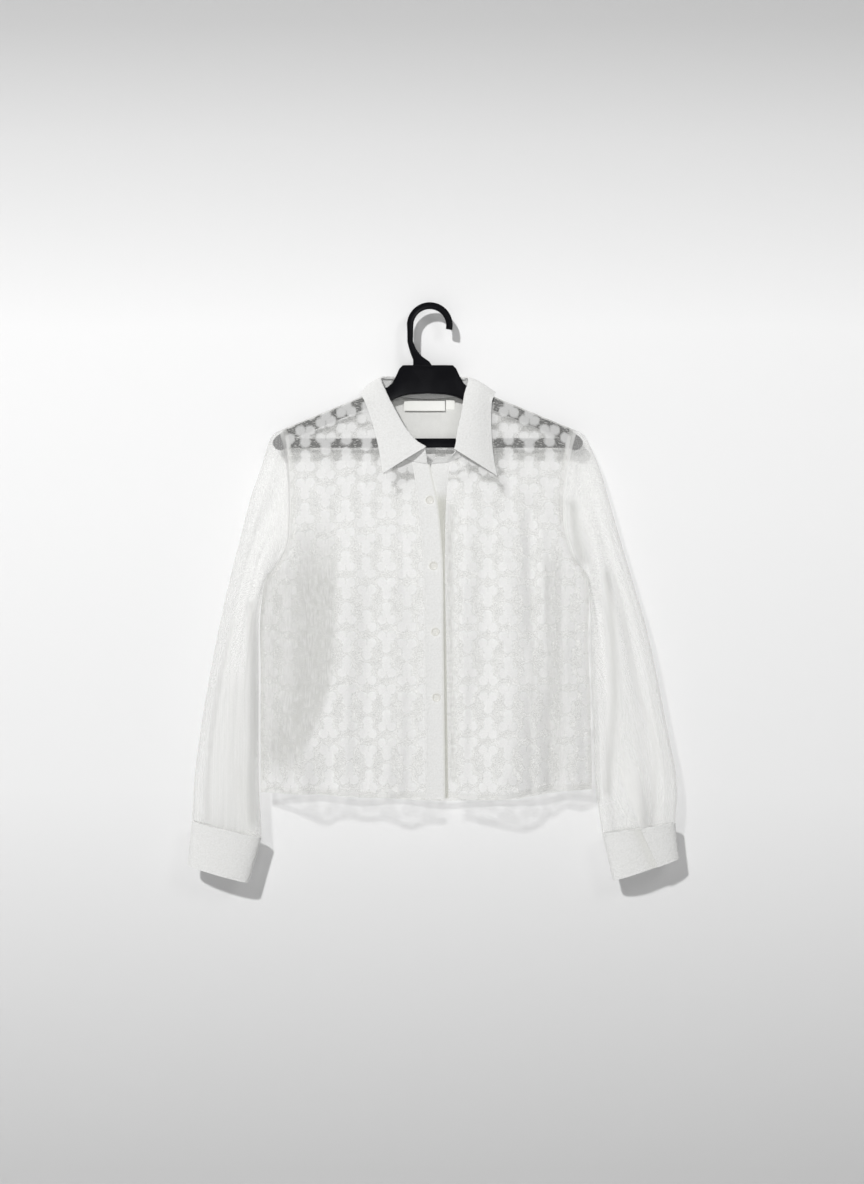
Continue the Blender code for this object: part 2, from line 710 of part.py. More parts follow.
def sleeve_grid(table, folds, side_table, slit_column, sign):
    """Rings of one sleeve. Below the slit's top the first and last columns lap over each other."""
    rows = np.array(table, float)
    top_row = (rows[0, :2], rows[0, 2:4])
    places = np.linspace(0, 1, SLEEVE_RINGS) ** 1.12
    base = (np.arange(RING_COLUMNS + 1) + slit_column) / RING_COLUMNS
    rings = []
    for number, place in enumerate(places):
        outer_x, outer_z, inner_x, inner_z, half_depth, keep = section(table, place)
        down = np.clip((number - (SLEEVE_RINGS - 1 - SLIT_RINGS)) / SLIT_RINGS, 0, 1)
        turn = base - SLIT_TURN * down
        # The lap goes under in full at its first ring, and only then across, so the two stay clear
        lapped = np.clip((SLIT_RINGS * down - 1) / (SLIT_RINGS - 1), 0, 1)
        lap = np.zeros(RING_COLUMNS + 1)
        lap[:2] = (-SLIT_LAP * lapped, -SLIT_LAP * lapped / 2)
        outer = np.array([outer_x, outer_z])
        inner = np.array([inner_x, inner_z])
        ring = ring_points(outer, inner, half_depth, keep, turn + lap, side_table, top_row)
        if number == 0:
            front = np.sin(2 * np.pi * turn) > 0
            ahead = -layer_depth(ring[:, 0] - sign * SEAM_GAP, ring[:, 2], "right")
            behind = layer_depth(ring[:, 0] - sign * SEAM_GAP, ring[:, 2], "back")
            tips = np.abs(np.sin(2 * np.pi * turn)) < 0.01
            ring[:, 1] = np.where(tips, 0.0, np.where(front, ahead, behind))
        push = sleeve_fold((turn + lap) % 1.0, place, folds)
        centre = np.array([(outer_x + inner_x) / 2, 0.0, (outer_z + inner_z) / 2])
        outwards = unit(np.stack([0 * push, ring[:, 1], 0 * push], axis=-1) + 1e-6)
        ring = ring + outwards * push[:, None] * np.abs(np.sin(2 * np.pi * turn))[:, None] ** 0.5
        if down > 0:
            ring[:2, 1] -= np.sign(ring[:2, 1]) * SLIT_STEP * np.array([1.0, 0.6])
        rings.append(ring)
    return np.array(rings)


def build_sleeve(name, parts, grid, sign, material):
    """One sleeve as three panels: its collision stays hollow only if no solid closes round it."""
    points = grid if sign < 0 else grid[:, ::-1]
    slit_row = SLEEVE_RINGS - 1 - SLIT_RINGS
    normals = grid_normals(points, True, 1)
    flat_ring = points[0]
    loop = flat_ring[:-1]
    tangent = np.roll(loop, -1, axis=0) - np.roll(loop, 1, axis=0)
    turned = np.stack([0 * tangent[:, 0], -tangent[:, 2], tangent[:, 1]], axis=-1)
    turned = unit(turned)
    outward = np.where(np.sum(turned * normals[0, :-1], axis=1, keepdims=True) < 0, -turned, turned)
    normals[0] = np.concatenate([outward, outward[:1]])
    open_rows = slice(slit_row + 1, None)
    normals[open_rows, 0] = normals[open_rows, 1]
    normals[open_rows, -1] = normals[open_rows, -2]
    inner = points - WALL * normals
    for part, first, last in parts:
        outer = points[:, first : last + 1].copy()
        inside = inner[:, first : last + 1].copy()
        for end, step in ((0, 1), (-1, -1)):
            back = unit(outer[:, end + step] - outer[:, end]) * SEAM_GAP / 2
            outer[:, end] += back
            inside[:, end] += back
        wall(f"{name}_{part}", outer, WALL, material, inner=inside)


def cuff_grid(table, low, side_table, slit_column):
    """A band round the sleeve's end whose ends lap, the first column under the last one."""
    rows = np.array(table, float)
    top_row = (rows[0, :2], rows[0, 2:4])
    above = rows[-1, :5]
    below = np.array(low, float)
    turn = (np.arange(RING_COLUMNS + 1) + slit_column) / RING_COLUMNS - SLIT_TURN
    lap = np.zeros(RING_COLUMNS + 1)
    lap[:3] = (-CUFF_LAP, -CUFF_LAP / 3, 0.0)
    under = np.zeros(RING_COLUMNS + 1)
    under[:3] = (1.0, 1.0, 0.45)
    rings = []
    direction = unit(below[:4] - above[:4])
    start = above.copy()
    start[:4] += SEAM_GAP * 2 * direction
    for part in np.linspace(0, 1, CUFF_ROWS + 1):
        outer_x, outer_z, inner_x, inner_z, half_depth = start + (below - start) * part
        outer = np.array([outer_x, outer_z])
        inner = np.array([inner_x, inner_z])
        turned = turn + lap - CUFF_STEP_TURN * part
        ring = ring_points(outer, inner, half_depth, 0.0, turned, side_table, top_row)
        centre = np.array([(outer_x + inner_x) / 2, 0.0, (outer_z + inner_z) / 2])
        ring += unit(centre - ring) * CUFF_STEP * under[:, None]
        rings.append(ring)
    return np.array(rings)


def neck_seam(t):
    """Points of the neckline seam: the right front to t = 5, the back to 9, then the left front."""
    made = np.zeros((len(t), 3))
    for stations, layer, start in ((NECK_RIGHT, "right", 0), (NECK_BACK, "back", 5), (NECK_LEFT, "left", 9)):
        inside = (t >= start) & (t <= start + len(stations) - 1)
        made[inside] = on_layer(along(stations, t[inside] - start), layer)
    return made


def clear_of_body(points, lift):
    """Moves points out until they lie lift above the body's layer under them."""
    x, y, z = points[..., 0], points[..., 1], points[..., 2]
    layer = np.where(x < 10, layer_depth(x, z, "right"), layer_depth(x, z, "left"))
    front = np.minimum(y, -(layer + lift))
    back = np.maximum(y, layer_depth(x, z, "back") + lift)
    below = z < shoulder_z(x) + lift
    points = points.copy()
    points[..., 1] = np.where(below & (y < 0), front, np.where(below, back, y))
    return points


def fall_edge():
    """The collar's outer edge at each station, resting on the layer below it."""
    made = []
    for x, z, layer in FALL_EDGE:
        depth = {-1: -1, 0: 0, 1: 1}[layer]
        name = "back" if layer > 0 else ("right" if x < 10 else "left")
        y = depth * (float(layer_depth(x, z, name)) + FALL_LIFT)
        made.append((x, y, z))
    return made


def collar_sections(t):
    """Centre of the roll's round, the ways down, out and to the stand, the seam and the edge."""
    roll = along(ROLL, t)
    last = len(ROLL) - 1
    ahead = along(ROLL, np.minimum(t + TANGENT_STEP, last))
    tangent = unit(ahead - along(ROLL, np.maximum(t - TANGENT_STEP, 0)))
    seam = neck_seam(t)
    edge = along(fall_edge(), np.minimum(t, len(FALL_EDGE) - 1))
    to_seam = unit(seam - roll)
    to_edge = unit(edge - roll)
    down = unit(to_seam + to_edge)
    out = unit(np.cross(tangent, down))
    down = unit(np.cross(out, tangent))
    to_seam = unit(to_seam - out * np.sum(to_seam * out, axis=1, keepdims=True))
    centre = roll + down * ROLL_ROUND
    return centre, down, out, to_seam, seam, edge


def collar_steps(last):
    """Places along the collar: the neckline's own steps, and closer ones over each shoulder."""
    neck_points = (len(NECK_RIGHT) - 1, len(NECK_RIGHT) + len(NECK_BACK) - 2)
    over = (0.15, 0.28, 0.45)
    front_steps = (*NECK_STEPS, *over)
    right = [neck_points[0] - step for step in (*front_steps, 4.15, 5.0)]
    left = [neck_points[1] + step for step in (*front_steps, 4.0 - FALL_END, 4.6, 5.0)]
    back = list(np.arange(neck_points[0] + 0.5, neck_points[1], 0.5))
    back += [neck_points[0] + step for step in over] + [neck_points[1] - step for step in over]
    return np.array(sorted(step for step in set(right + left + back) if step <= last))


def build_fall(material):
    """The collar's fall: up from the stand, over the roll and down to its pointed edge."""
    t = collar_steps(len(FALL_EDGE) - 1)
    centre, down, out, to_seam, _, edge = collar_sections(t)
    lines = [
        centre + to_seam * ROLL_LIMB - out * ROLL_ROUND,
        centre - out * ROLL_ROUND,
        centre - down * ROLL_ROUND,
        centre + out * ROLL_ROUND,
    ]
    for row in range(1, FALL_ROWS + 1):
        part = row / FALL_ROWS
        bow = FALL_BOW * np.sin(np.pi * part) * (1 - 0.4 * part)
        line = centre + (edge - centre) * part + out * (ROLL_ROUND * (1 - part) + bow)
        lift = FALL_LIFT + FALL_LIFT_OVER_ARM * bell(line[:, 1], FALL_LIFT_WIDTH)
        lines.append(clear_of_body(line, lift))
    return wall("collar_fall", np.array(lines), WALL, material, outward=-1)


def build_stand(material):
    """The collar's stand: from the neckline seam up to the fall, with rounded front ends."""
    t = collar_steps(len(ROLL) - 1)
    centre, _, out, to_seam, seam, _ = collar_sections(t)
    past_fall = bell(t[:, None] - (len(FALL_EDGE) - 1), STAND_END_STEPS)
    gap = STAND_GAP + STAND_END_GAP * past_fall
    top = centre + to_seam * (ROLL_LIMB + gap) - out * (ROLL_ROUND - WALL)
    rise = unit(top - seam)
    low = seam + rise * (STAND_LIFT + STAND_LIFT_OVER_ARM * bell(seam[:, 1:2], STAND_LIFT_WIDTH))
    parts = np.array([0.0, 0.35, 0.7, 1.0])[:, None, None]
    points = top[None] * (1 - parts) + low[None] * parts
    return wall("collar_stand", points, WALL, material, outward=-1)


def circle(radius, sides, centre=(0.0, 0.0)):
    angles = 2 * np.pi * np.arange(sides) / sides
    return [(centre[0] + radius * np.cos(a), centre[1] + radius * np.sin(a)) for a in angles]


def placket_face(x, z):
    """Y of the buttonhole placket's outer face."""
    seam = column(PLACKET_RIGHT, 1, z)
    free = column(PLACKET_RIGHT, 2, z)
    across = np.clip((x - seam) / (free - seam), 0, 1)
    return -(layer_depth(x, z, "right") + PLACKET_LIFT * across**2)


def button_seat(x, z):
    """Middle of a button's back, and the ways across, up and out, lying along the placket."""
    around = np.array([(u, v) for u, v in circle(BUTTON_RADIUS, BUTTON_SIDES)] + [(0.0, 0.0)])
    face = placket_face(x + around[:, 0], z + around[:, 1])
    plane = np.column_stack([around, np.ones(len(around))])
    slope_x, slope_z, level = np.linalg.lstsq(plane, face, rcond=None)[0]
    proud = np.max(plane @ np.array([slope_x, slope_z, level]) - face)
    across = unit(np.array([1.0, slope_x, 0.0]))
    out = unit(np.array([slope_x, -1.0, slope_z]))
    return np.array([x, level, z]) + out * (SEAM_GAP + proud), across, np.cross(out, across), out


def build_button(name, x, z, material):
    """A four-hole button with a raised rim, its back just clear of the placket."""
    builder = bmesh.new()
    front = -BUTTON_THICK
    profile = (
        # radius, height from the back
        (BUTTON_RADIUS - 0.5, 0.0),
        (BUTTON_RADIUS, -0.9),
        (BUTTON_RADIUS - 0.35, front),
        (BUTTON_RADIUS - BUTTON_RIM, front),
        (BUTTON_RADIUS - BUTTON_RIM - 0.6, front + BUTTON_DISH),
    )
    rings = []
    for radius, height in profile:
        rings.append([builder.verts.new((u, height, v)) for u, v in circle(radius, BUTTON_SIDES)])
    for low, high in zip(rings, rings[1:]):
        for i in range(BUTTON_SIDES):
            j = (i + 1) % BUTTON_SIDES
            builder.faces.new((low[i], low[j], high[j], high[i]))
    pitch = BUTTON_HOLE_PITCH / 2
    faces = {}
    for ring, height in ((rings[0], 0.0), (rings[-1], front + BUTTON_DISH)):
        edges = [builder.edges.get((ring[i], ring[(i + 1) % BUTTON_SIDES])) for i in range(BUTTON_SIDES)]
        holes = []
        for centre in ((-pitch, -pitch), (pitch, -pitch), (pitch, pitch), (-pitch, pitch)):
            hole = [builder.verts.new((u, height, v)) for u, v in circle(BUTTON_HOLE, HOLE_SIDES, centre)]
            holes.append(hole)
            for i in range(HOLE_SIDES):
                edges.append(builder.edges.new((hole[i], hole[(i + 1) % HOLE_SIDES])))
        bmesh.ops.triangle_fill(builder, use_beauty=True, use_dissolve=False, edges=edges)
        inside = [face for face in builder.faces if any(set(face.verts) <= set(hole) for hole in holes)]
        bmesh.ops.delete(builder, geom=inside, context="FACES_ONLY")
        faces[height] = holes
    for low, high in zip(*faces.values()):
        for i in range(HOLE_SIDES):
            j = (i + 1) % HOLE_SIDES
            builder.faces.new((low[i], low[j], high[j], high[i]))
    seat, across, up, out = button_seat(x, z)
    for vert in builder.verts:
        vert.co = (seat + across * vert.co.x + up * vert.co.z - out * vert.co.y) * MM
    return add_object(name, builder, material)


def build_label(name, box, material):
    """A woven label that hangs inside the back from the neck seam."""
    low_x, high_x, low_z, high_z = box
    x = np.linspace(low_x, high_x, LABEL_COLUMNS + 1)
    z = np.array([high_z, (low_z + high_z) / 2, low_z])
    flat = np.stack(np.meshgrid(x, z), axis=-1)
    points = on_layer(flat, "back", -(WALL + 3 * SEAM_GAP))
    return wall(name, points, LABEL_WALL, material, inner=points - np.array([0, LABEL_WALL, 0]))


def arc(centre, radius, start, end, count):
    angles = np.radians(np.linspace(start, end, count))
    return [(centre[0] + radius * np.cos(a), centre[1] + radius * np.sin(a)) for a in angles]


def moulded(name, outline, material):
    """A flat moulding: the outline in the XZ plane, extruded through and bevelled."""
    builder = bmesh.new()
    half = HANGER_THICK / 2
    front = [builder.verts.new((x * MM, -half * MM, z * MM)) for x, z in outline]
    face = builder.faces.new(front)
    made = bmesh.ops.extrude_face_region(builder, geom=[face])
    moved = [item for item in made["geom"] if isinstance(item, bmesh.types.BMVert)]
    bmesh.ops.translate(builder, vec=(0, HANGER_THICK * MM, 0), verts=moved)
    bmesh.ops.recalc_face_normals(builder, faces=builder.faces)
    rims = [edge for edge in builder.edges if abs(edge.verts[0].co.y - edge.verts[1].co.y) < MM / 10]
    bmesh.ops.bevel(builder, geom=rims, offset=HANGER_BEVEL * MM, segments=1, affect="EDGES", profile=0.5)
    return add_object(name, builder, material)


def build_hanger(material):
    """Hook, neck plate, two arms and the bar, each a flat moulding with its own outline."""
    inner = HOOK_RADIUS - HOOK_WIDTH
    centre = (HOOK_X, -inner)
    hook = arc(centre, HOOK_RADIUS, -12, 160, 14) + list(HOOK_OUTER_LEG) + list(HOOK_INNER_LEG)
    hook += arc(centre, inner, 155, -8, 12) + list(HOOK_TIP)
    moulded("hanger_hook", hook[::-1], material)

    turns = np.linspace(0, np.pi, 9)
    arch = [(HANGER_X + ARCH_HALF * np.cos(a), ARCH_Z + ARCH_RISE * np.sin(a)) for a in turns]
    right_side = [(HANGER_X + x, z) for x, z in PLATE_SIDE]
    left_side = [(HANGER_X - x, z) for x, z in reversed(PLATE_SIDE)]
    moulded("hanger_plate", left_side + right_side + arch, material)

    for name, sign in (("hanger_arm_right", -1), ("hanger_arm_left", 1)):
        outline = [
            (ARM_START - ARM_SEAT, arm_top(HANGER_X + ARM_START - ARM_SEAT)),
            (ARM_TOP_END, arm_top(HANGER_X + ARM_TOP_END)),
            *arc((HANGER_HALF - LOBE_RADIUS, LOBE_Z), LOBE_RADIUS, 95, -85, 7),
            (BAR_HALF + SEAM_GAP, BAR_BOTTOM - LOBE_LIP),
            (BAR_HALF + SEAM_GAP, BAR_TOP),
            (BAR_SEAT, BAR_TOP + BAR_LIP),
            (ARM_LOW_END, arm_top(HANGER_X + ARM_LOW_END) - ARM_DEPTH),
            (ARM_START - ARM_CUT, ARCH_Z - SEAM_GAP),
        ]
        points = [(HANGER_X + sign * x, z) for x, z in outline]
        moulded(name, points[::-1] if sign > 0 else points, material)

    bar = [(-BAR_HALF, BAR_TOP), (BAR_HALF, BAR_TOP), (BAR_HALF, BAR_BOTTOM), (-BAR_HALF, BAR_BOTTOM)]
    moulded("hanger_bar", [(HANGER_X + x, z) for x, z in bar], material)


def main():
    for made in list(bpy.data.objects):
        bpy.data.objects.remove(made, do_unlink=True)
    sheer = finish_material("sheer_voile", (0.86, 0.86, 0.85), 0.8, alpha=0.55)
    crepe = finish_material("crepe_voile", (0.85, 0.85, 0.84), 0.85)
    shell = finish_material("button_resin", (0.88, 0.87, 0.84), 0.3)
    tape = finish_material("woven_tape", (0.84, 0.84, 0.82), 0.7)
    black = finish_material("moulded_black", (0.012, 0.012, 0.015), 0.38)

    build_front("front_right", "right", sheer)
    build_front("front_left", "left", sheer)
    build_back(sheer)
    build_placket("placket_buttonholes", "right", PLACKET_LIFT, crepe)
    build_placket("placket_under", "left", 0.0, crepe)
    for number, (x, z) in enumerate(BUTTONS, start=1):
        build_button(f"button_{number}", x, z, shell)
    build_stand(crepe)
    build_fall(crepe)
    right = sleeve_grid(SLEEVE_RIGHT, SLEEVE_FOLDS_RIGHT, SIDE_RIGHT, SLIT_COLUMN_RIGHT, -1)
    left = sleeve_grid(SLEEVE_LEFT, SLEEVE_FOLDS_LEFT, SIDE_LEFT, SLIT_COLUMN_LEFT, 1)
    build_sleeve("sleeve_right", PANELS_RIGHT, right, -1, sheer)
    build_sleeve("sleeve_left", PANELS_LEFT, left, 1, sheer)
    cuffs = (
        ("cuff_right", SLEEVE_RIGHT, CUFF_LOW_RIGHT, SIDE_RIGHT, SLIT_COLUMN_RIGHT, -1),
        ("cuff_left", SLEEVE_LEFT, CUFF_LOW_LEFT, SIDE_LEFT, SLIT_COLUMN_LEFT, 1),
    )
    for name, table, low, side_table, slit_column, sign in cuffs:
        grid = cuff_grid(table, low, side_table, slit_column)
        wall(name, grid if sign < 0 else grid[:, ::-1], CUFF_WALL, crepe)
    build_label("neck_label", LABEL, tape)
    build_label("size_tab", SIZE_TAB, tape)
    build_hanger(black)


main()
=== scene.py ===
import math

import bpy
import numpy as np
from mathutils import Matrix, Vector


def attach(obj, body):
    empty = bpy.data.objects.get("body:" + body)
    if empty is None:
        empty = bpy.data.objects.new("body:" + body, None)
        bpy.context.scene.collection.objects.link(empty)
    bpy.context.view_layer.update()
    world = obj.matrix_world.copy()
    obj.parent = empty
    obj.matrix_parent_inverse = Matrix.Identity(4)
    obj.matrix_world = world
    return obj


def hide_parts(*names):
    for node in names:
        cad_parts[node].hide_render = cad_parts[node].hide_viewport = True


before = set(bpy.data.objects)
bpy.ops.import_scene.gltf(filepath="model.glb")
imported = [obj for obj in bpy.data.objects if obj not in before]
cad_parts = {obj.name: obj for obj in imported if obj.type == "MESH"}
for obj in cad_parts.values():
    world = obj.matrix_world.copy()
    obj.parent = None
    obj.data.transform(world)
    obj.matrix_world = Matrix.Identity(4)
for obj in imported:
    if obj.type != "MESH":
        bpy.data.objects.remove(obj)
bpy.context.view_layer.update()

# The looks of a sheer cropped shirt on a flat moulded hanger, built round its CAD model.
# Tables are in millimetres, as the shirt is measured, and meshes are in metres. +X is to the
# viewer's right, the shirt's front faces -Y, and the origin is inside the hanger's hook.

MM = 0.001


# Hanger: one flat moulding in black polypropylene, with a fixed hook, a neck plate, two sloping
# arms and a trouser bar. A rim stands proud along its edges, as the mould leaves it. The shirt's
# shoulders lie on the arms, and the hook carries everything.

HANGER_X = -1.7
HANGER_THICK = 5.0
HOOK_THICK = 4.8
BAR_THICK = 4.6
RIM_WIDTH = 1.7
RIM_HEIGHT = 0.7
RIM_SLOPE = 0.5
EDGE_ROUND = 0.6
HOOK_CENTRE = (1.0, -22.1)
HOOK_MIDDLE = 26.5
HOOK_WIDTH = 8.8
HOOK_FROM = -12.0
HOOK_TURN = 190.0
HOOK_LEG = (
    # x, z, width, tilt in degrees
    (-25.4, -30, 8, 0),
    (-25.5, -44, 7.6, 8),
    (-21.4, -56.5, 9, 26),
    (-16, -66, 12, 24),
    (-10.6, -73, 22, 10),
    (-8.6, -80, 30, 0),
)
# Upper and lower edge of half of the moulding, from the centre line out to the end lobe
HALF_HANGER = (
    # x, top_z, low_z
    (0, -76, -114),
    (24, -76, -115.4),
    (34, -76.2, -117.4),
    (38.5, -81, -118.8),
    (43.5, -92, -121),
    (48, -100, -123),
    (54, -105.5, -124.4),
    (76, -114.6, -131.2),
    (110, -128.6, -145.2),
    (150, -145.1, -161.4),
    (178, -156.7, -173.6),
    (190, -161.6, -187),
    (198, -167.6, -191),
    (205, -173, -189),
    (209, -178, -183.6),
)
BAR = (-174.8, -187.2, 194.0)
BLACK = "060609"
BLACK_WORN = "0f0f13"


def linear(code):
    """A colour for a shader from its sRGB hex value."""
    parts = [int(code[i : i + 2], 16) / 255 for i in (0, 2, 4)]
    return [c / 12.92 if c <= 0.04045 else ((c + 0.055) / 1.055) ** 2.4 for c in parts] + [1.0]


def socket(source):
    """The output that a link starts from. A node stands for its first one."""
    return source.outputs[0] if hasattr(source, "outputs") else source


def node(tree, kind, settings=(), links=()):
    """One node of a material: its settings, then what its sockets are linked to."""
    made = tree.nodes.new(f"ShaderNode{kind}")
    for key, value in dict(settings).items():
        if isinstance(key, str) and hasattr(made, key):
            setattr(made, key, value)
        else:
            made.inputs[key].default_value = value
    for key, source in dict(links).items():
        tree.links.new(socket(source), made.inputs[key])
    return made


def finish(name):
    """A new material, its tree and its shader."""
    made = bpy.data.materials.new(name)
    made.use_nodes = True
    return made, made.node_tree, made.node_tree.nodes["Principled BSDF"]


def dress(shader, links, settings):
    """Links the shader's varied sockets, and sets those that are the same all over."""
    for key, source in links.items():
        shader.id_data.links.new(socket(source), shader.inputs[key])
    for key, value in settings.items():
        shader.inputs[key].default_value = value


def only(*pieces):
    """Makes these objects the selected ones, the first of them active."""
    bpy.ops.object.select_all(action="DESELECT")
    for piece in pieces:
        piece.select_set(True)
    bpy.context.view_layer.objects.active = pieces[0]


def pick(piece, test):
    """Selects the faces whose middle and normal pass the test, ready for edit mode."""
    bpy.context.tool_settings.mesh_select_mode = (False, False, True)
    mesh = piece.data
    mesh.vertices.foreach_set("select", [False] * len(mesh.vertices))
    mesh.edges.foreach_set("select", [False] * len(mesh.edges))
    for face in mesh.polygons:
        face.select = bool(test(face.center, face.normal))


def modify(piece, kind, **settings):
    """Adds a modifier with its settings and applies it."""
    modifier = piece.modifiers.new(kind.title(), kind)
    for key, value in settings.items():
        setattr(modifier, key, value)
    only(piece)
    bpy.ops.object.modifier_apply(modifier=modifier.name)


def settle(piece, material, slot, *nodes):
    """Puts the piece's place in its mesh, gives it its finish and lets it ride on the hanger."""
    only(piece)
    bpy.ops.object.transform_apply(location=True, rotation=True, scale=True)
    if piece.data.materials:
        piece.data.materials[0] = material
    else:
        piece.data.materials.append(material)
    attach(piece, "root")
    if nodes:
        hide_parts(*nodes)


def strip(name, stations, thickness):
    """A flat bar: one edge of a plane is extruded from station to station, then thickened.

    A station is the two points of the bar's edges, upper and lower, as (x, z) pairs.
    """
    bpy.ops.object.select_all(action="DESELECT")
    bpy.ops.mesh.primitive_plane_add(size=1.0, rotation=(math.pi / 2, 0, 0))
    made = bpy.context.object
    made.name = name
    bpy.ops.object.transform_apply(location=True, rotation=True, scale=True)
    corners = sorted(made.data.vertices, key=lambda vertex: (vertex.co.x, -vertex.co.z))
    for corner, (x, z) in zip(corners, (*stations[0], *stations[1])):
        corner.co = (x * MM, 0, z * MM)
    end = [corners[2].index, corners[3].index]
    bpy.context.tool_settings.mesh_select_mode = (False, True, False)
    for upper, lower in stations[2:]:
        for edge in made.data.edges:
            edge.select = set(edge.vertices) == set(end)
        for vertex in made.data.vertices:
            vertex.select = vertex.index in end
        for face in made.data.polygons:
            face.select = False
        bpy.ops.object.mode_set(mode="EDIT")
        bpy.ops.mesh.extrude_region_move()
        bpy.ops.object.mode_set(mode="OBJECT")
        fresh = [vertex for vertex in made.data.vertices if vertex.select]
        fresh.sort(key=lambda vertex: (vertex.co - made.data.vertices[end[0]].co).length)
        for vertex, (x, z) in zip(fresh, (upper, lower)):
            vertex.co = (x * MM, 0, z * MM)
        end = [vertex.index for vertex in fresh]
    modify(made, "SOLIDIFY", thickness=thickness * MM, offset=0.0)
    return made


def rim_and_round(piece):
    """Sinks the field of both faces inside the moulding's rim, and rounds all its edges."""
    pick(piece, lambda middle, normal: abs(normal.y) > 0.9)
    bpy.ops.object.mode_set(mode="EDIT")
    bpy.ops.mesh.inset(thickness=RIM_WIDTH * MM, depth=0.0, use_even_offset=True)
    bpy.ops.mesh.inset(thickness=RIM_SLOPE * MM, depth=-RIM_HEIGHT * MM, use_even_offset=True)
    bpy.ops.mesh.select_all(action="SELECT")
    bpy.ops.mesh.normals_make_consistent(inside=False)
    bpy.ops.object.mode_set(mode="OBJECT")
    modify(
        piece, "BEVEL", width=EDGE_ROUND * MM, segments=2, limit_method="ANGLE",
        angle_limit=math.radians(50), use_clamp_overlap=True,
    )


def arm_stations(sign):
    """Stations of the moulding, from its centre line or just past it out to one side."""
    return [((HANGER_X + sign * x, top), (HANGER_X + sign * x, low)) for x, top, low in HALF_HANGER]


shoulders = strip("shoulders", arm_stations(-1)[:0:-1] + arm_stations(1), HANGER_THICK)
rim_and_round(shoulders)

angles = np.radians(np.linspace(HOOK_FROM, HOOK_FROM + HOOK_TURN, 34))
hook_stations = []
for angle in angles:
    across = np.array([math.cos(angle), math.sin(angle)])
    outer = np.array(HOOK_CENTRE) + across * (HOOK_MIDDLE + HOOK_WIDTH / 2)
    hook_stations.append((tuple(outer), tuple(outer - across * HOOK_WIDTH)))
for x, z, width, tilt in HOOK_LEG:
    lean = math.radians(tilt)
    half = np.array([math.cos(lean), math.sin(lean)]) * width / 2
    hook_stations.append(((x - half[0], z - half[1]), (x + half[0], z + half[1])))
hook = strip("hook", hook_stations, HOOK_THICK)
rim_and_round(hook)

bar_half = BAR[2]
bar_x = np.linspace(-bar_half, bar_half, 9) + HANGER_X
bar = strip("bar", [((x, BAR[0]), (x, BAR[1])) for x in bar_x], BAR_THICK)
rim_and_round(bar)

for other in (hook, bar):
    modify(shoulders, "BOOLEAN", operation="UNION", solver="EXACT", object=other)
    bpy.data.objects.remove(other, do_unlink=True)
hanger = shoulders
hanger.name = "hanger"
only(hanger)
bpy.ops.object.shade_smooth_by_angle(angle=math.radians(35))

# Moulded polypropylene: a low satin sheen with the mould's faint grain, and clouds where the black
# is worn a little lighter
moulded_black, tree, shader = finish("moulded_black_polypropylene")
place = node(tree, "TexCoord").outputs["Object"]
grain = node(tree, "TexNoise", {"Scale": 900.0, "Detail": 3.0}, {"Vector": place})
cloud = node(tree, "TexNoise", {"Scale": 38.0, "Detail": 4.0}, {"Vector": place})
worn = node(
    tree, "Mix",
    {"data_type": "RGBA", 6: linear(BLACK), 7: linear(BLACK_WORN)}, {0: cloud.outputs["Fac"]},
)
rough = node(tree, "MapRange", {"To Min": 0.30, "To Max": 0.46}, {"Value": cloud.outputs["Fac"]})
bump = node(tree, "Bump", {"Strength": 0.12, "Distance": 0.0004}, {"Height": grain.outputs["Fac"]})
dress(
    shader, {"Base Color": worn.outputs[2], "Roughness": rough, "Normal": bump},
    {"IOR": 1.49, "Specular IOR Level": 0.12},
)
settle(
    hanger, moulded_black, "hanger_black",
    "hanger_hook", "hanger_plate", "hanger_arm_right", "hanger_arm_left", "hanger_bar",
)


# Back and two fronts: sheer crinkled organza with small cut-thread blossoms woven in, cut to
# shape and joined by narrow seams over the shoulders and down the sides. They drape over the
# hanger's arms, so each hangs in soft lengthwise folds, and the hem is turned up twice.

SHEER_THICK = 0.6
SHOULDER_CLEAR = 1.8
SHOULDER_ROUND = 4.7
DRAPE_LENGTH = 70.0
SEAM_GAP = 0.1
SEAM_ALLOWANCE = 5.0
HEM_TURN = 7.5
ALLOWANCE_PROUD = 0.25
BAND_BLUR = 1.2
ARM_START = 54.0
ARM_START_Z = -105.5
ARM_SLOPE = 0.4125
UNDERARM_RIGHT = -359.0
UNDERARM_LEFT = -357.0
HEM_SIDE_RIGHT = -652.0
HEM_SIDE_LEFT = -648.0
ARMHOLE_DEPTH = 13.0
SIDE_SEAM_DEPTH = 1.35
# Steps of the rows down from the shoulder, where the cloth turns over the hanger's arm
TURN_STEPS = (0.0, 0.25, 0.9, 1.8, 2.8, 3.9, 5.2, 7.0, 9.0, 11.5)
BODY_ROWS = 136
HEM_STEPS = (8.6, 7.2, 4.0, 0.8, 0.0)
ALLOWANCE_STEPS = (0.0, 1.6, 3.2, 4.6, 5.4)
SHOULDER_COLUMNS = 44
NECK_COLUMNS = 38
BACK_NECK_COLUMNS = 56

# Edge of the body from the shoulder end down: armhole to the underarm, then the side seam
SIDE_RIGHT = (
    # z, x
    (-162.1, -197),
    (-190, -190.5),
    (-217, -187.5),
    (-285, -186.5),
    (-318, -190),
    (-341, -201),
    (-359, -217),
    (-376, -223),
    (-393, -225.5),
    (-500, -227),
    (-665, -227),
)
SIDE_LEFT = (
    # z, x
    (-162.4, 194.5),
    (-195, 187),
    (-231, 181.5),
    (-262, 179.5),
    (-316, 186),
    (-341, 197),
    (-357, 211),
    (-374, 214),
    (-447, 214.5),
    (-528, 217.4),
    (-660, 220),
)

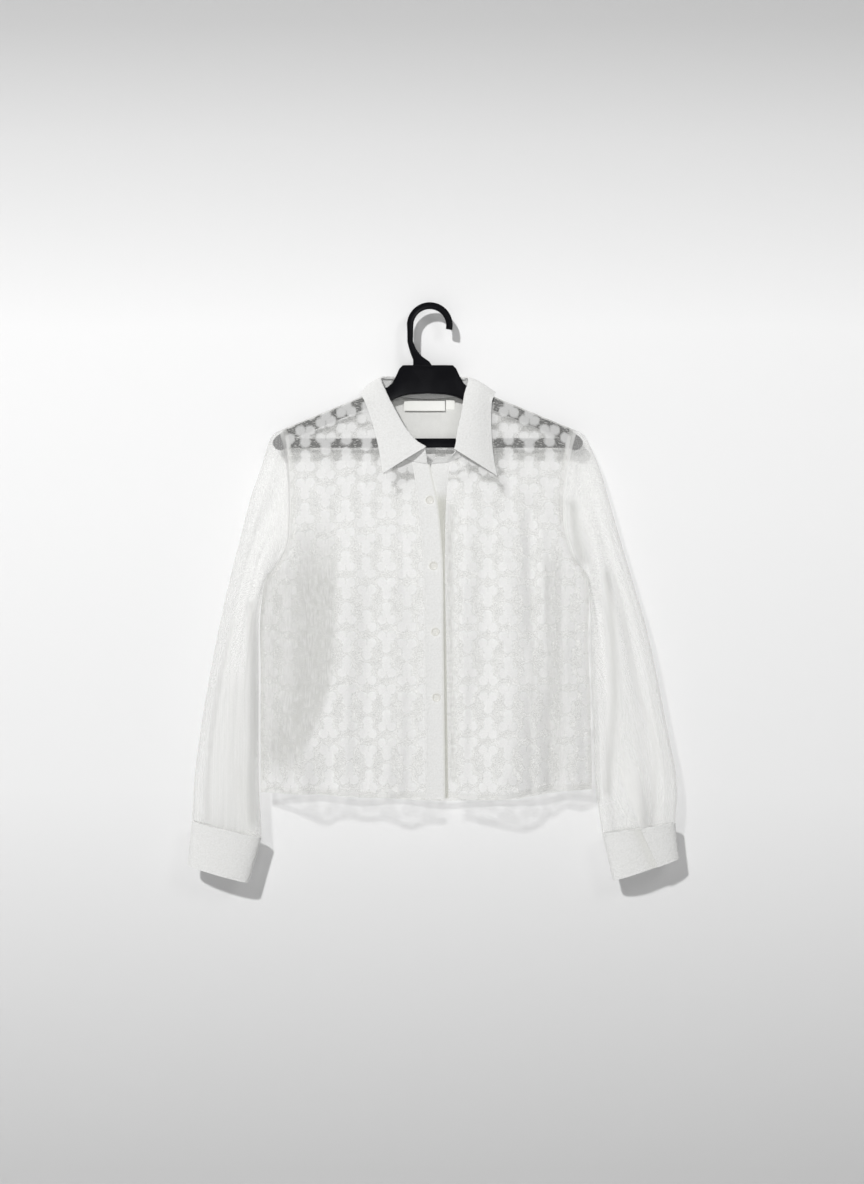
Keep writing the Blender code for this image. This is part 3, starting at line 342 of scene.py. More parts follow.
# How far each layer stands from the hanger's plane down the middle of the shirt
MIDDLE = (
    # z, front, back
    (-105, 7, 7),
    (-165, 11, 9),
    (-213, 15.5, 11),
    (-260, 19, 12),
    (-330, 23, 14),
    (-420, 26, 15),
    (-520, 27, 15),
    (-670, 27, 14),
)
NECK_BULGE = 7.0
NECK_BULGE_WIDTH = 55.0
NECK_BULGE_Z = -118.0
NECK_BULGE_HEIGHT = 45.0

# Largest folds. push is outwards, so a trough is negative. Each fades over a quarter of its length
FADES = 4
FRONT_FOLDS = (
    # top_x, top_z, low_x, low_z, half_width, push
    (-158, -270, -160, -590, 23, -9),
    (-116, -300, -112, -700, 16, 4.5),
    (-172, -560, -172, -760, 17, 7),
    (-78, -330, -88, -720, 14, -4),
    (-48, -300, -54, -720, 17, 4),
    (74, -260, 62, -720, 15, -5),
    (100, -230, 116, -720, 18, 5),
    (137, -240, 138, -480, 9, -5.5),
    (160, -500, 168, -720, 13, -8),
    (197, -470, 199, -740, 12, 4.5),
    # the hem's lobes, which swing forward more and more down to the hem
    (-176, -480, -176, -1180, 24, 13),
    (-58, -500, -58, -1120, 18, 8),
    (92, -480, 92, -1180, 34, 13),
)
BACK_FOLDS = (
    # top_x, top_z, low_x, low_z, half_width, push
    (-150, -250, -158, -730, 22, 5),
    (-98, -280, -104, -730, 17, -5),
    (-40, -330, -48, -730, 24, 5.5),
    (22, -250, 18, -730, 18, -5),
    (80, -300, 92, -730, 22, 5),
    (136, -260, 148, -730, 18, -5),
    (178, -380, 182, -730, 16, 4),
)
# The left front falls away behind the button placket, and its placket lies under that one
LEFT_SET_BACK = 2.2
LEFT_SET_BACK_END = 70.0
GULLY_X = 30.0
GULLY_HALF = 13.0
GULLY_PUSH = 7.0
GULLY_TOP = -222.0
GULLY_RUN = 60.0

HEM = (
    # x, front z, back z
    (-230, -652, -652),
    (-150, -651.5, -657),
    (-62, -655.5, -662.5),
    (15, -657, -665),
    (60, -658.5, -665),
    (110, -656, -664),
    (152, -649.5, -656),
    (222, -647.5, -648),
)

NECK_RIGHT = (
    # x, z, from the centre front up to the neck point
    (-2, -211),
    (-30, -204.5),
    (-53, -186),
    (-66.5, -160),
    (-74, -133),
    (-77, -112.5),
)
NECK_BACK = ((-77.0, -112.5), (-50.0, -117.5), (-4.0, -121.0), (50.0, -117.5), (77.0, -113.9))
NECK_LEFT = (
    # x, z, from the neck point down to the centre front
    (77, -113.9),
    (73.5, -140),
    (64.5, -172),
    (50, -196),
    (27, -208),
    (3, -210.5),
)
# Small creases between the folds, of uneven length, depth and spacing
FRONT_CREASES = (
    # top_x, top_z, low_x, low_z, half_width, push
    (-187, -300, -178, -455, 5.5, -1.9),
    (-206, -385, -199, -585, 6, 2),
    (-215, -480, -212, -655, 4.5, -1.6),
    (-196, -560, -192, -700, 5, 1.7),
    (-149, -240, -139, -405, 6.5, 1.6),
    (-133, -185, -126, -330, 6, -1.5),
    (-139, -430, -147, -655, 5, 1.9),
    (-127, -520, -131, -700, 4.5, -1.4),
    (-101, -215, -97, -380, 7, 1.3),
    (-98, -465, -103, -660, 5.5, -1.9),
    (-66, -370, -70, -545, 5, -1.4),
    (-36, -265, -33, -420, 5, -1.1),
    (-35, -475, -38, -690, 6, 1.6),
    (-88, -150, -95, -260, 6, -1.2),
    (46, -330, 43, -520, 5, 1.4),
    (58, -470, 50, -690, 5.5, -1.7),
    (84, -250, 87, -400, 6, -1.4),
    (91, -430, 93, -610, 4.5, 1.5),
    (118, -210, 124, -380, 6, 1.4),
    (132, -500, 140, -700, 5, -1.8),
    (151, -260, 154, -440, 5, 1.7),
    (176, -300, 179, -470, 5.5, -1.8),
    (184, -400, 186, -560, 4.5, 1.6),
    (181, -560, 186, -700, 5, 1.8),
    (208, -520, 209, -690, 4.5, -1.6),
    (104, -160, 112, -290, 6, -1.2),
)
BACK_CREASES = (
    # top_x, top_z, low_x, low_z, half_width, push
    (-178, -240, -184, -430, 6, -1.8),
    (-204, -420, -206, -640, 5, 1.6),
    (-126, -190, -130, -360, 6.5, 1.5),
    (-124, -430, -129, -680, 5.5, -1.8),
    (-70, -220, -66, -410, 6, 1.4),
    (-72, -480, -77, -700, 5, -1.7),
    (-18, -360, -14, -560, 5.5, 1.5),
    (-4, -520, -6, -700, 4.5, -1.5),
    (50, -240, 53, -420, 6, -1.5),
    (54, -470, 60, -690, 5, 1.8),
    (104, -210, 110, -370, 6.5, 1.4),
    (118, -420, 124, -640, 5.5, -1.8),
    (162, -300, 166, -480, 5.5, 1.6),
    (200, -440, 203, -660, 5, -1.6),
)


def cubic(places, values, place):
    """A smooth curve through the values at the given places, read at place."""
    places = np.asarray(places, float)
    values = np.asarray(values, float)
    if places[0] > places[-1]:
        places, values = places[::-1], values[::-1]
    slopes = np.gradient(values, places)
    place = np.clip(place, places[0], places[-1])
    i = np.clip(np.searchsorted(places, place) - 1, 0, len(places) - 2)
    step = places[i + 1] - places[i]
    t = (place - places[i]) / step
    start = (2 * t**3 - 3 * t**2 + 1) * values[i] + (t**3 - 2 * t**2 + t) * step * slopes[i]
    end = (3 * t**2 - 2 * t**3) * values[i + 1] + (t**3 - t**2) * step * slopes[i + 1]
    return start + end


def column(table, number, place, key=0):
    """One column of a table whose rows are sorted by the key column."""
    rows = np.array(table, float)
    return cubic(rows[:, key], rows[:, number], place)


def along(stations, t):
    """Points of the smooth curve through stations that are one step of t apart."""
    rows = np.array(stations, float)
    steps = np.arange(len(rows))
    return np.stack([cubic(steps, rows[:, i], t) for i in range(rows.shape[1])], axis=-1)


def bell(distance, half_width):
    """1 on the middle of a fold, and less and less beside it."""
    return np.exp(-((distance / half_width) ** 2))


def ramp(value):
    """0 up to 0, 1 from 1 on, and straight between."""
    return np.clip(value, 0, 1)


def eased(value):
    """The same with soft ends."""
    return ramp(value) ** 2 * (3 - 2 * ramp(value))


def unit(vectors):
    return vectors / np.linalg.norm(vectors, axis=-1, keepdims=True)


def arm_top(x):
    """Height of the hanger arm's upper edge."""
    return ARM_START_Z - ARM_SLOPE * (np.abs(x - HANGER_X) - ARM_START)


def shoulder_z(x):
    """Height of the cloth's outer face along the shoulder, just above the hanger's arm."""
    return arm_top(x) + SHOULDER_CLEAR


def side_x(x, z):
    """The body's edge on the side where x lies."""
    return np.where(x < 0, column(SIDE_RIGHT, 1, z), column(SIDE_LEFT, 1, z))


def edge_depth(x, z):
    """How far a layer stands off along the armhole and the side seam."""
    underarm = np.where(x < 0, UNDERARM_RIGHT, UNDERARM_LEFT)
    top = SIDE_RIGHT[0][0]
    part = ramp((top - z) / (top - underarm))
    return np.maximum(SIDE_SEAM_DEPTH, ARMHOLE_DEPTH * np.sqrt(1 - (1 - 2 * part) ** 2))


def fold_push(x, z, folds):
    """Sum of the folds at a point: each is a bell across and fades at both its ends."""
    total = np.zeros_like(x)
    for top_x, top_z, low_x, low_z, half_width, push in folds:
        part = (top_z - z) / (top_z - low_z)
        centre = top_x + (low_x - top_x) * ramp(part)
        total += push * bell(x - centre, half_width) * eased(np.minimum(part, 1 - part) * FADES)
    return total


def layer_depth(x, z, layer):
    """Distance of a layer's outer face from the hanger's plane: right, left or back."""
    x, z = np.broadcast_arrays(np.asarray(x, float), np.asarray(z, float))
    back = layer == "back"
    across = ramp(np.abs(x / side_x(x, z)))
    middle = column(MIDDLE, 2 if back else 1, z)
    edge = edge_depth(x, z)
    lens = edge + (middle - edge) * (1 - across**4)
    below = np.maximum(shoulder_z(x) - z, 0)
    over_arm = np.sqrt(1 - (1 - np.minimum(below / SHOULDER_ROUND, 1)) ** 2)
    held = np.exp(-below / DRAPE_LENGTH)
    depth = SHOULDER_ROUND * held + lens * (1 - held)
    folds = BACK_FOLDS + BACK_CREASES if back else FRONT_FOLDS + FRONT_CREASES
    depth += fold_push(x, z, folds) * (1 - across**8)
    if back:
        depth += NECK_BULGE * bell(x, NECK_BULGE_WIDTH) * bell(z - NECK_BULGE_Z, NECK_BULGE_HEIGHT)
    if layer == "left":
        depth -= LEFT_SET_BACK * eased(1 - x / LEFT_SET_BACK_END)
        depth -= GULLY_PUSH * bell(x - GULLY_X, GULLY_HALF) * ramp((GULLY_TOP - z) / GULLY_RUN)
    return over_arm * depth


def on_layer(xz, layer, lift=0.0):
    """Points of a layer, moved out by lift."""
    depth = layer_depth(xz[..., 0], xz[..., 1], layer) + lift
    y = depth if layer == "back" else -depth
    return np.stack([xz[..., 0], y, xz[..., 1]], axis=-1)


def patch(top, low, left, right, rows, columns):
    """Points in the XZ plane that fill the space between four edges."""
    r = rows[:, None, None]
    s = columns[None, :, None]
    sides = (1 - s) * left[:, None] + s * right[:, None]
    ends = (1 - r) * top[None, :] + r * low[None, :]
    near = (1 - s) * ((1 - r) * left[0] + r * left[-1])
    far = s * ((1 - r) * right[0] + r * right[-1])
    return sides + ends - near - far


def turned_heights(table, hem):
    """Heights of the body's rows along one side: close over the shoulder and at the hem."""
    top = table[0][0]
    low = hem + HEM_STEPS[0]
    even = np.linspace(top - TURN_STEPS[-1], low, BODY_ROWS)[1:-1]
    return np.concatenate([top - np.array(TURN_STEPS), even, hem + np.array(HEM_STEPS)])


def side_points(table, hem):
    """Points (x, z) down one side of the body, one for each row."""
    heights = turned_heights(table, hem)
    return np.stack([column(table, 1, heights), heights], axis=-1)


def hem_points(x, layer):
    """Points (x, z) along the hem."""
    return np.stack([x, column(HEM, 2 if layer == "back" else 1, x)], axis=-1)


def shoulder_points(start_x, end_x):
    """Points along a shoulder, close at its outer end for the seam allowance."""
    near = start_x + np.array(ALLOWANCE_STEPS) * np.sign(end_x - start_x)
    x = np.concatenate([near, np.linspace(near[-1], end_x, SHOULDER_COLUMNS)[1:]])
    return np.stack([x, shoulder_z(x)], axis=-1)


def neckline_to(stations, x_end, steps):
    """Points down a front neckline from its neck point to the place where it reaches x_end."""
    t = np.linspace(0, len(stations) - 1, 200)
    curve = along(stations, t)
    reach = np.interp(abs(x_end), np.abs(curve[::-1, 0]), t[::-1])
    return along(stations, np.linspace(0, reach, steps))


def arc_along(points, axis, parts):
    """Length along the cloth from the first row (axis 0) or column (axis 1), in some directions."""
    steps = np.linalg.norm(np.diff(points, axis=axis)[..., parts], axis=-1)
    start = np.zeros_like(points[:1, :, 0] if axis == 0 else points[:, :1, 0])
    return np.concatenate([start, np.cumsum(steps, axis=axis)], axis=axis)


def band(distance, width):
    """1 within width of an edge, 0 past it, with the change spread over BAND_BLUR."""
    return ramp((width + BAND_BLUR / 2 - distance) / BAND_BLUR)


def grid_normals(points):
    """Outward normals of a grid of rows and columns."""
    return unit(np.cross(np.gradient(points, axis=0), np.gradient(points, axis=1)))


# Painted shade lies on the front half of the cloth alone, and fades out over these depths
PAINTED_SHADE_BEHIND = 4.0
PAINTED_SHADE_BEHIND_FADE = 3.0


def painted_shade_lines(points, lines):
    """Painted shade, on the cloth's front half alone, along soft lines of (x, z) points."""
    total = np.zeros(points.shape[:2])
    for half_width, strength, stations in lines:
        path = along(stations, np.linspace(0, len(stations) - 1, 60))
        away = np.hypot(points[..., 0, None] - path[:, 0], points[..., 2, None] - path[:, 1]).min(axis=-1)
        total += strength * bell(away, half_width)
    return ramp(total) * ramp((PAINTED_SHADE_BEHIND - points[..., 1]) / PAINTED_SHADE_BEHIND_FADE)


def cloth(name, points, thickness, grain=0, closed_rows=0, doubled=None, inside=None, painted_shade=None):
    """A shell of cloth from rows and columns of its outer face's points.

    Its UV map is measured along the cloth, in metres, from the grain column and the last row.
    doubled says where a second layer lies under it, as in a seam allowance or a hem; on the crepe
    cuffs and bands it carries painted shadow and painted shade instead. The painted shade says
    where shade is painted on sheer cloth, in its folds and in a sleeve's cast shadow, where the
    cloth is also denser. inside is the inner face's finish. The last column of the first closed_rows rows is
    their first.
    """
    rows, columns = points.shape[:2]
    index = np.arange(rows * columns).reshape(rows, columns)
    corners = index.copy()
    corners[:closed_rows, -1] = index[:closed_rows, 0]
    quads = np.stack([index[:-1, :-1], index[1:, :-1], index[1:, 1:], index[:-1, 1:]], axis=-1)
    quads = quads.reshape(-1, 4)
    used, faces = np.unique(corners.ravel()[quads], return_inverse=True)
    mesh = bpy.data.meshes.new(f"{name}_cloth")
    mesh.from_pydata((points.reshape(-1, 3)[used] * MM).tolist(), [], faces.reshape(-1, 4).tolist())
    u = arc_along(points, 1, [0, 1])
    v = arc_along(points, 0, [0, 1, 2])
    half_way = points[rows // 2, :, 0]
    facing = 1 if closed_rows else np.sign(half_way[-1] - half_way[0])
    u = u - u[:, grain : grain + 1] + facing * points[:, grain : grain + 1, 0]
    v = points[-1:, :, 2] + v[-1:] - v
    chart = mesh.uv_layers.new(name="along_cloth")
    chart.data.foreach_set("uv", (np.stack([u, v], axis=-1).reshape(-1, 2)[quads] * MM).ravel())
    for key, given in (("doubled", doubled), ("painted_shade", painted_shade)):
        layer = mesh.attributes.new(key, "FLOAT", "POINT")
        values = np.zeros(rows * columns) if given is None else given.ravel()
        layer.data.foreach_set("value", values[used])
    made = bpy.data.objects.new(f"{name}_cloth", mesh)
    bpy.context.scene.collection.objects.link(made)
    mesh.shade_smooth()
    if inside:
        mesh.materials.append(inside)
        mesh.materials.append(inside)
    modify(
        made, "SOLIDIFY", thickness=thickness * MM, offset=-1.0, use_even_offset=False,
        material_offset=1 if inside else 0,
    )
    only(made)
    bpy.ops.object.shade_smooth_by_angle(angle=math.radians(60))
    return made


def body_grid(top, low, left, right, layer, seam_sides):
    """A body panel's points and where it is doubled: shoulder, hem and the seams at its sides."""
    rows = (left[:, 1] - left[0, 1]) / (left[-1, 1] - left[0, 1])
    points = on_layer(patch(top, low, left, right, rows, np.linspace(0, 1, len(top))), layer)
    near = np.abs(points[0, :, 1]) < SEAM_GAP
    points[0, near, 1] = np.sign(points[1, near, 1]) * SEAM_GAP / 2
    down = arc_along(points, 0, [1, 2])
    over = arc_along(points, 1, [0, 1, 2])
    hem_only = band(down[-1:] - down, HEM_TURN)
    doubled = np.maximum(band(down, SEAM_ALLOWANCE), hem_only)
    if "first" in seam_sides:
        doubled = np.maximum(doubled, band(over, SEAM_ALLOWANCE))
    if "last" in seam_sides:
        doubled = np.maximum(doubled, band(over[:, -1:] - over, SEAM_ALLOWANCE))
    points = points + grid_normals(points) * (ALLOWANCE_PROUD * hem_only)[..., None]
    return points, doubled


def seam_x(table, z):
    """X of a front's edge at its placket seam."""
    return column(table, 1, z) + math.copysign(SEAM_GAP, table[0][1])


def front_grid(layer, stations, side_table, hem, seam_table):
    """One front's grid: shoulder and neckline on top, armhole and side, placket seam, hem."""
    side = side_points(side_table, hem)
    neck = neckline_to(stations, seam_x(seam_table, PLACKET_TOP), NECK_COLUMNS)
    top = np.concatenate([shoulder_points(side[0, 0], neck[0, 0]), neck[1:]])
    top[0] = side[0]
    rows = (side[:, 1] - side[0, 1]) / (side[-1, 1] - side[0, 1])
    seam_z = neck[-1, 1] + (column(HEM, 1, neck[-1, 0]) - neck[-1, 1]) * rows
    seam = np.stack([seam_x(seam_table, seam_z), seam_z], axis=-1)
    seam[0] = neck[-1]
    across = np.linspace(0, 1, len(top))
    low = hem_points(side[-1, 0] + (seam[-1, 0] - side[-1, 0]) * across, layer)
    low[0], low[-1] = side[-1], seam[-1]
    return body_grid(top, low, side, seam, layer, ("first",))


# The front's placket seams, where the buttonhole band and the button band are sewn on
PLACKET_SEAM_RIGHT = (
    # z, x
    (-206, -23.3),
    (-228, -19.5),
    (-252.5, -16),
    (-317, -9.7),
    (-450, -6.5),
    (-634, -4.2),
    (-670, -4),
)
PLACKET_SEAM_LEFT = (
    # z, x
    (-206, 28),
    (-228, 26),
    (-260, 23),
    (-317, 21.5),
    (-450, 23),
    (-634, 25.5),
    (-670, 26),
)
# Inner edge of the painted shadow that the right sleeve casts on the right front; the cloth is
# also made denser there and hides its blossoms
PAINTED_SHADOW_EDGE = (
    # z, x
    (-250, -137),
    (-305, -122),
    (-400, -121),
    (-485, -124.5),
    (-540, -138),
    (-588, -160),
    (-645, -187),
)
# The painted shadow begins within a blur of this edge, is paler near the side seam, and fades at
# its top and its low end
PAINTED_SHADOW_BLUR = 9.0
PAINTED_SHADOW_PALER = 0.45
PALER_FROM = 42.0
PALER_FADE = 25.0
PAINTED_SHADOW_TOP = -280.0
PAINTED_SHADOW_TOP_FADE = 85.0
PAINTED_SHADOW_LOW = -640.0
PAINTED_SHADOW_LOW_FADE = 50.0
# Painted shade on the left front, in its folds and in the gully beside the plackets
PAINTED_SHADE_LEFT = (
    # half_width, strength, (x, z) stations
    (12.0, 0.55, ((166, -345), (170, -450), (172, -560), (170, -630))),
    (5.5, 1.00, ((31, -268), (28, -335), (29, -450), (32, -630))),
    (4.0, 0.45, ((137, -380), (138, -480), (136, -560), (137, -640))),
    (3.0, 0.40, ((157, -350), (160, -450), (161, -560), (158, -640))),
)
NECK_FACING = 62.0
NECK_FACING_HALF = 66.0
PLACKET_TOP = -207.0

right_grid, right_doubled = front_grid(
    "right", NECK_RIGHT[::-1], SIDE_RIGHT, HEM_SIDE_RIGHT, PLACKET_SEAM_RIGHT
)
left_grid, left_doubled = (
    made[:, ::-1] for made in front_grid("left", NECK_LEFT, SIDE_LEFT, HEM_SIDE_LEFT, PLACKET_SEAM_LEFT)
)

right_side = side_points(SIDE_RIGHT, HEM_SIDE_RIGHT)
left_side = side_points(SIDE_LEFT, HEM_SIDE_LEFT)
back_neck = along(NECK_BACK, np.linspace(0, len(NECK_BACK) - 1, BACK_NECK_COLUMNS))
back_top = np.concatenate([
    shoulder_points(right_side[0, 0], back_neck[0, 0])[:-1],
    back_neck,
    shoulder_points(left_side[0, 0], back_neck[-1, 0])[::-1][1:],
])
back_top[0], back_top[-1] = right_side[0], left_side[0]
back_low_x = np.linspace(right_side[-1, 0], left_side[-1, 0], len(back_top))
back_low = hem_points(back_low_x, "back")
back_low[0], back_low[-1] = right_side[-1], left_side[-1]
back_grid, back_doubled = body_grid(
    back_top, back_low, right_side, left_side, "back", ("first", "last")
)
back_grid, back_doubled = back_grid[:, ::-1], back_doubled[:, ::-1]
# A plain facing lies behind the back of the neck, and hides the blossoms there
facing_depth = band(arc_along(back_grid, 0, [1, 2]), NECK_FACING)
facing_width = band(np.abs(back_grid[..., 0]), NECK_FACING_HALF)
back_doubled = np.maximum(back_doubled, 2 * facing_depth * facing_width)

# Blossoms of cut thread between two warps: three round petals a motif, in columns where every
# other motif stands on its head and every other column is let down a little
COLUMN_PITCH = 0.0276
MOTIF_PITCH = 0.0356
COLUMN_DROP = 0.010
SINGLE_PETAL = (0.0, 0.0094, 0.0)
PAIRED_PETAL = (0.0067, -0.0070, 0.0)
MOTIF_CORE = (0.0, 0.0012, 0.0)
PETAL_RADIUS = 0.0071
CUT_EDGE = 0.0044
LOOSE_END = 0.0040
DASH_LENGTH = 0.0040
DASH_WIDTH = 0.0013
DASH_SLANT = 0.62
GROUND_ALPHA = 0.22
GROUND_SPREAD = 0.09
PETAL_ALPHA = 0.67
PETAL_SPREAD = 0.16
HAZE_ALPHA = 0.04
# Share of the light that the white threads spread on to what lies behind them
LIGHT_THROUGH = 0.62
# Opacity of the sheer cloth where shade is painted on it
PAINTED_SHADE_ALPHA = 0.62
DOUBLED_COVER = 0.45
# Grey of the painted shade on sheer cloth
PAINTED_SHADE_GREY = "b2b2ae"
OFF_WHITE = "d6d6d3"
THREAD_WHITE = "e4e4e3"


def stacked_cover(tree, woven, painted_shade_mask):
    """The sheer cloth's opacity, denser where it is doubled or where shade is painted, and less so to the
    light.
    """
    second = node(tree, "Attribute", {"attribute_name": "doubled"}).outputs["Fac"]
    under = node(tree, "Math", {"operation": "MULTIPLY", 1: DOUBLED_COVER}, {0: second})
    layers = node(tree, "Mix", {"data_type": "FLOAT", 3: 1.0}, {0: under, 2: woven})
    stacked = node(tree, "Mix", {"data_type": "FLOAT", 3: PAINTED_SHADE_ALPHA}, {0: painted_shade_mask, 2: layers})
    sun = node(tree, "LightPath").outputs["Is Shadow Ray"]
    spread = node(tree, "Math", {"operation": "MULTIPLY_ADD", 1: -LIGHT_THROUGH, 2: 1.0}, {0: sun})
    return node(tree, "Math", {"operation": "MULTIPLY"}, {0: stacked, 1: spread}), second


# Organza of fine polyester: clear between its threads, dull white where the cut threads lie
organza, tree, shader = finish("blossom_clipped_organza")
chart = node(tree, "UVMap", {"uv_map": "along_cloth"}).outputs["UV"]
cut = node(tree, "TexNoise", {"Scale": 330.0, "Detail": 3.0}, {"Vector": chart})
loose = node(
    tree, "VectorMath",
    {"operation": "MULTIPLY_ADD", 1: (LOOSE_END, LOOSE_END, 0.0)},
    {0: cut.outputs["Color"], 2: chart},
)
apart = node(tree, "SeparateXYZ", (), {0: loose})
number = node(tree, "Math", {"operation": "DIVIDE", 1: COLUMN_PITCH}, {0: apart})
whole = node(tree, "Math", {"operation": "ROUND"}, {0: number})
odd = node(tree, "Math", {"operation": "PINGPONG", 1: 1.0}, {0: whole})
let_down = node(
    tree, "Math", {"operation": "MULTIPLY_ADD", 1: COLUMN_DROP},
    {0: odd, 2: apart.outputs[1]},
)
beside = node(tree, "Math", {"operation": "PINGPONG", 1: COLUMN_PITCH / 2}, {0: apart})
turned = node(tree, "Math", {"operation": "PINGPONG", 1: MOTIF_PITCH}, {0: let_down})
above = node(tree, "Math", {"operation": "SUBTRACT", 1: MOTIF_PITCH / 2}, {0: turned})
in_motif = node(tree, "CombineXYZ", (), {0: beside, 1: above})
petals = [
    node(tree, "VectorMath", {"operation": "DISTANCE", 1: petal}, {0: in_motif}).outputs["Value"]
    for petal in (SINGLE_PETAL, PAIRED_PETAL, MOTIF_CORE)
]
either = node(tree, "Math", {"operation": "MINIMUM"}, {0: petals[0], 1: petals[1]})
nearest = node(tree, "Math", {"operation": "MINIMUM"}, {0: either, 1: petals[2]})
motif = node(
    tree, "MapRange",
    {"interpolation_type": "SMOOTHSTEP", "From Min": PETAL_RADIUS + CUT_EDGE / 2,
     "From Max": PETAL_RADIUS - CUT_EDGE / 2},
    {"Value": nearest},
)
slant = node(
    tree, "Mapping",
    {"Rotation": (0.0, 0.0, DASH_SLANT), "Scale": (1 / DASH_LENGTH, 1 / DASH_WIDTH, 1.0)},
    {"Vector": chart},
)
tufts = node(tree, "TexNoise", {"Scale": 1.0, "Detail": 0.0}, {"Vector": slant})
dashes = node(
    tree, "MapRange", {"From Min": 0.60, "From Max": 0.68, "To Max": 0.30},
    {"Value": tufts.outputs["Fac"]},
)
net = node(tree, "TexNoise", {"Scale": 760.0, "Detail": 2.0}, {"Vector": chart})
ground = node(
    tree, "MapRange", {"To Min": GROUND_ALPHA - GROUND_SPREAD, "To Max": GROUND_ALPHA + GROUND_SPREAD},
    {"Value": net.outputs["Fac"]},
)
thready = node(
    tree, "MapRange", {"To Min": PETAL_ALPHA - PETAL_SPREAD, "To Max": PETAL_ALPHA + PETAL_SPREAD},
    {"Value": net.outputs["Fac"]},
)
with_dashes = node(tree, "Math", {"operation": "ADD"}, {0: ground, 1: dashes})
woven = node(tree, "Mix", {"data_type": "FLOAT"}, {0: motif, 2: with_dashes, 3: thready})
crinkled = node(tree, "Mapping", {"Scale": (520.0, 70.0, 1.0)}, {"Vector": chart})
crinkle = node(tree, "TexNoise", {"Scale": 1.0, "Detail": 3.0}, {"Vector": crinkled})
crackle = node(
    tree, "MapRange", {"From Min": 0.38, "From Max": 0.62, "To Min": 0.95, "To Max": 0.5},
    {"Value": crinkle.outputs["Fac"]},
)
# Painted shade: where the attribute marks it, broken up by the crinkle, the cloth turns grey and denser
folds = node(tree, "Attribute", {"attribute_name": "painted_shade"})
painted_shade_mask = node(tree, "Math", {"operation": "MULTIPLY"}, {0: folds.outputs["Fac"], 1: crackle})
cover, second = stacked_cover(tree, woven, painted_shade_mask)
# Over a second layer the blossoms stand out half as much
uncovered = node(tree, "Math", {"operation": "MULTIPLY_ADD", 1: -0.5, 2: 1.0}, {0: second})
seen = node(tree, "Math", {"operation": "MULTIPLY"}, {0: motif, 1: uncovered})
tint = node(
    tree, "Mix", {"data_type": "RGBA", 6: linear(OFF_WHITE), 7: linear(THREAD_WHITE)},
    {0: seen},
)
# Painted shade greys the cloth's colour there
shaded = node(
    tree, "Mix", {"data_type": "RGBA", 7: linear(PAINTED_SHADE_GREY)},
    {0: painted_shade_mask, 6: tint.outputs[2]},
)
relief = node(
    tree, "Math", {"operation": "MULTIPLY_ADD", 1: 0.08},
    {0: motif, 2: crinkle.outputs["Fac"]},
)
bump = node(tree, "Bump", {"Strength": 0.4, "Distance": 0.0005}, {"Height": relief})
dress(
    shader, {"Alpha": cover, "Base Color": shaded.outputs[2], "Normal": bump},
    {"Roughness": 0.72, "Sheen Weight": 0.12},
)

# The inner face of the sheer cloth: the clear yarns' own faint haze
haze, tree, shader = finish("organza_inner_face")
sun = node(tree, "LightPath").outputs["Is Shadow Ray"]
let_through = node(tree, "MapRange", {"To Min": HAZE_ALPHA, "To Max": 0.02}, {"Value": sun})
dress(shader, {"Alpha": let_through}, {"Base Color": linear("e9e9e6"), "Roughness": 0.75})

# Painted shadow of the right sleeve on the right front, and painted shade in the left front's folds
right_z = right_grid[..., 2]
from_edge = column(PAINTED_SHADOW_EDGE, 1, right_z) - right_grid[..., 0]
paler = PAINTED_SHADOW_PALER * ramp((from_edge - PALER_FROM) / PALER_FADE)
right_painted_shadow = ramp(from_edge / PAINTED_SHADOW_BLUR) * (1 - paler)
right_painted_shadow *= ramp((PAINTED_SHADOW_TOP - right_z) / PAINTED_SHADOW_TOP_FADE)
right_painted_shadow *= ramp((right_z - PAINTED_SHADOW_LOW) / PAINTED_SHADOW_LOW_FADE)
left_painted_shade = painted_shade_lines(left_grid, PAINTED_SHADE_LEFT)

body = []
for name, grid, grain, doubled, painted_shade, cut_size, area in (
    ("front_right", right_grid, -1, right_doubled, right_painted_shadow, (0.232, 0.551), 0.1049),
    ("front_left", left_grid, 0, left_doubled, left_painted_shade, (0.208, 0.552), 0.0946),
    ("back", back_grid, back_grid.shape[1] // 2, back_doubled, None, (0.456, 0.558), 0.2243),
):
    body.append(cloth(name, grid, SHEER_THICK, grain % grid.shape[1], 0, doubled, haze, painted_shade))
    settle(body[-1], organza, "sheer_body", name)


# Sleeves: the same organza without blossoms, in one piece each with a seam under the arm, set
# into the armholes. They hang down beside the body, with long creases from the elbow, and end
# in a slit whose two edges lap where the cuff opens.

SLEEVE_COLUMNS = 96
SLEEVE_RINGS = 168
CAD_COLUMNS = 24
CAD_RINGS = 20
RING_GROWTH = 1.12
SLIT_RINGS = 3
SLIT_LAP = 0.035
SLIT_STEP = 2.6
SLIT_COLUMN_RIGHT = 17
SLIT_COLUMN_LEFT = 7
SLIT_TURN = 0.045
SLIT_DOUBLED = 13.0
CAP_BLEND = 0.037
EDGE_BLEND = 0.05
SECTION_FLATNESS = 0.85
SLIT_FADE_RINGS = 8
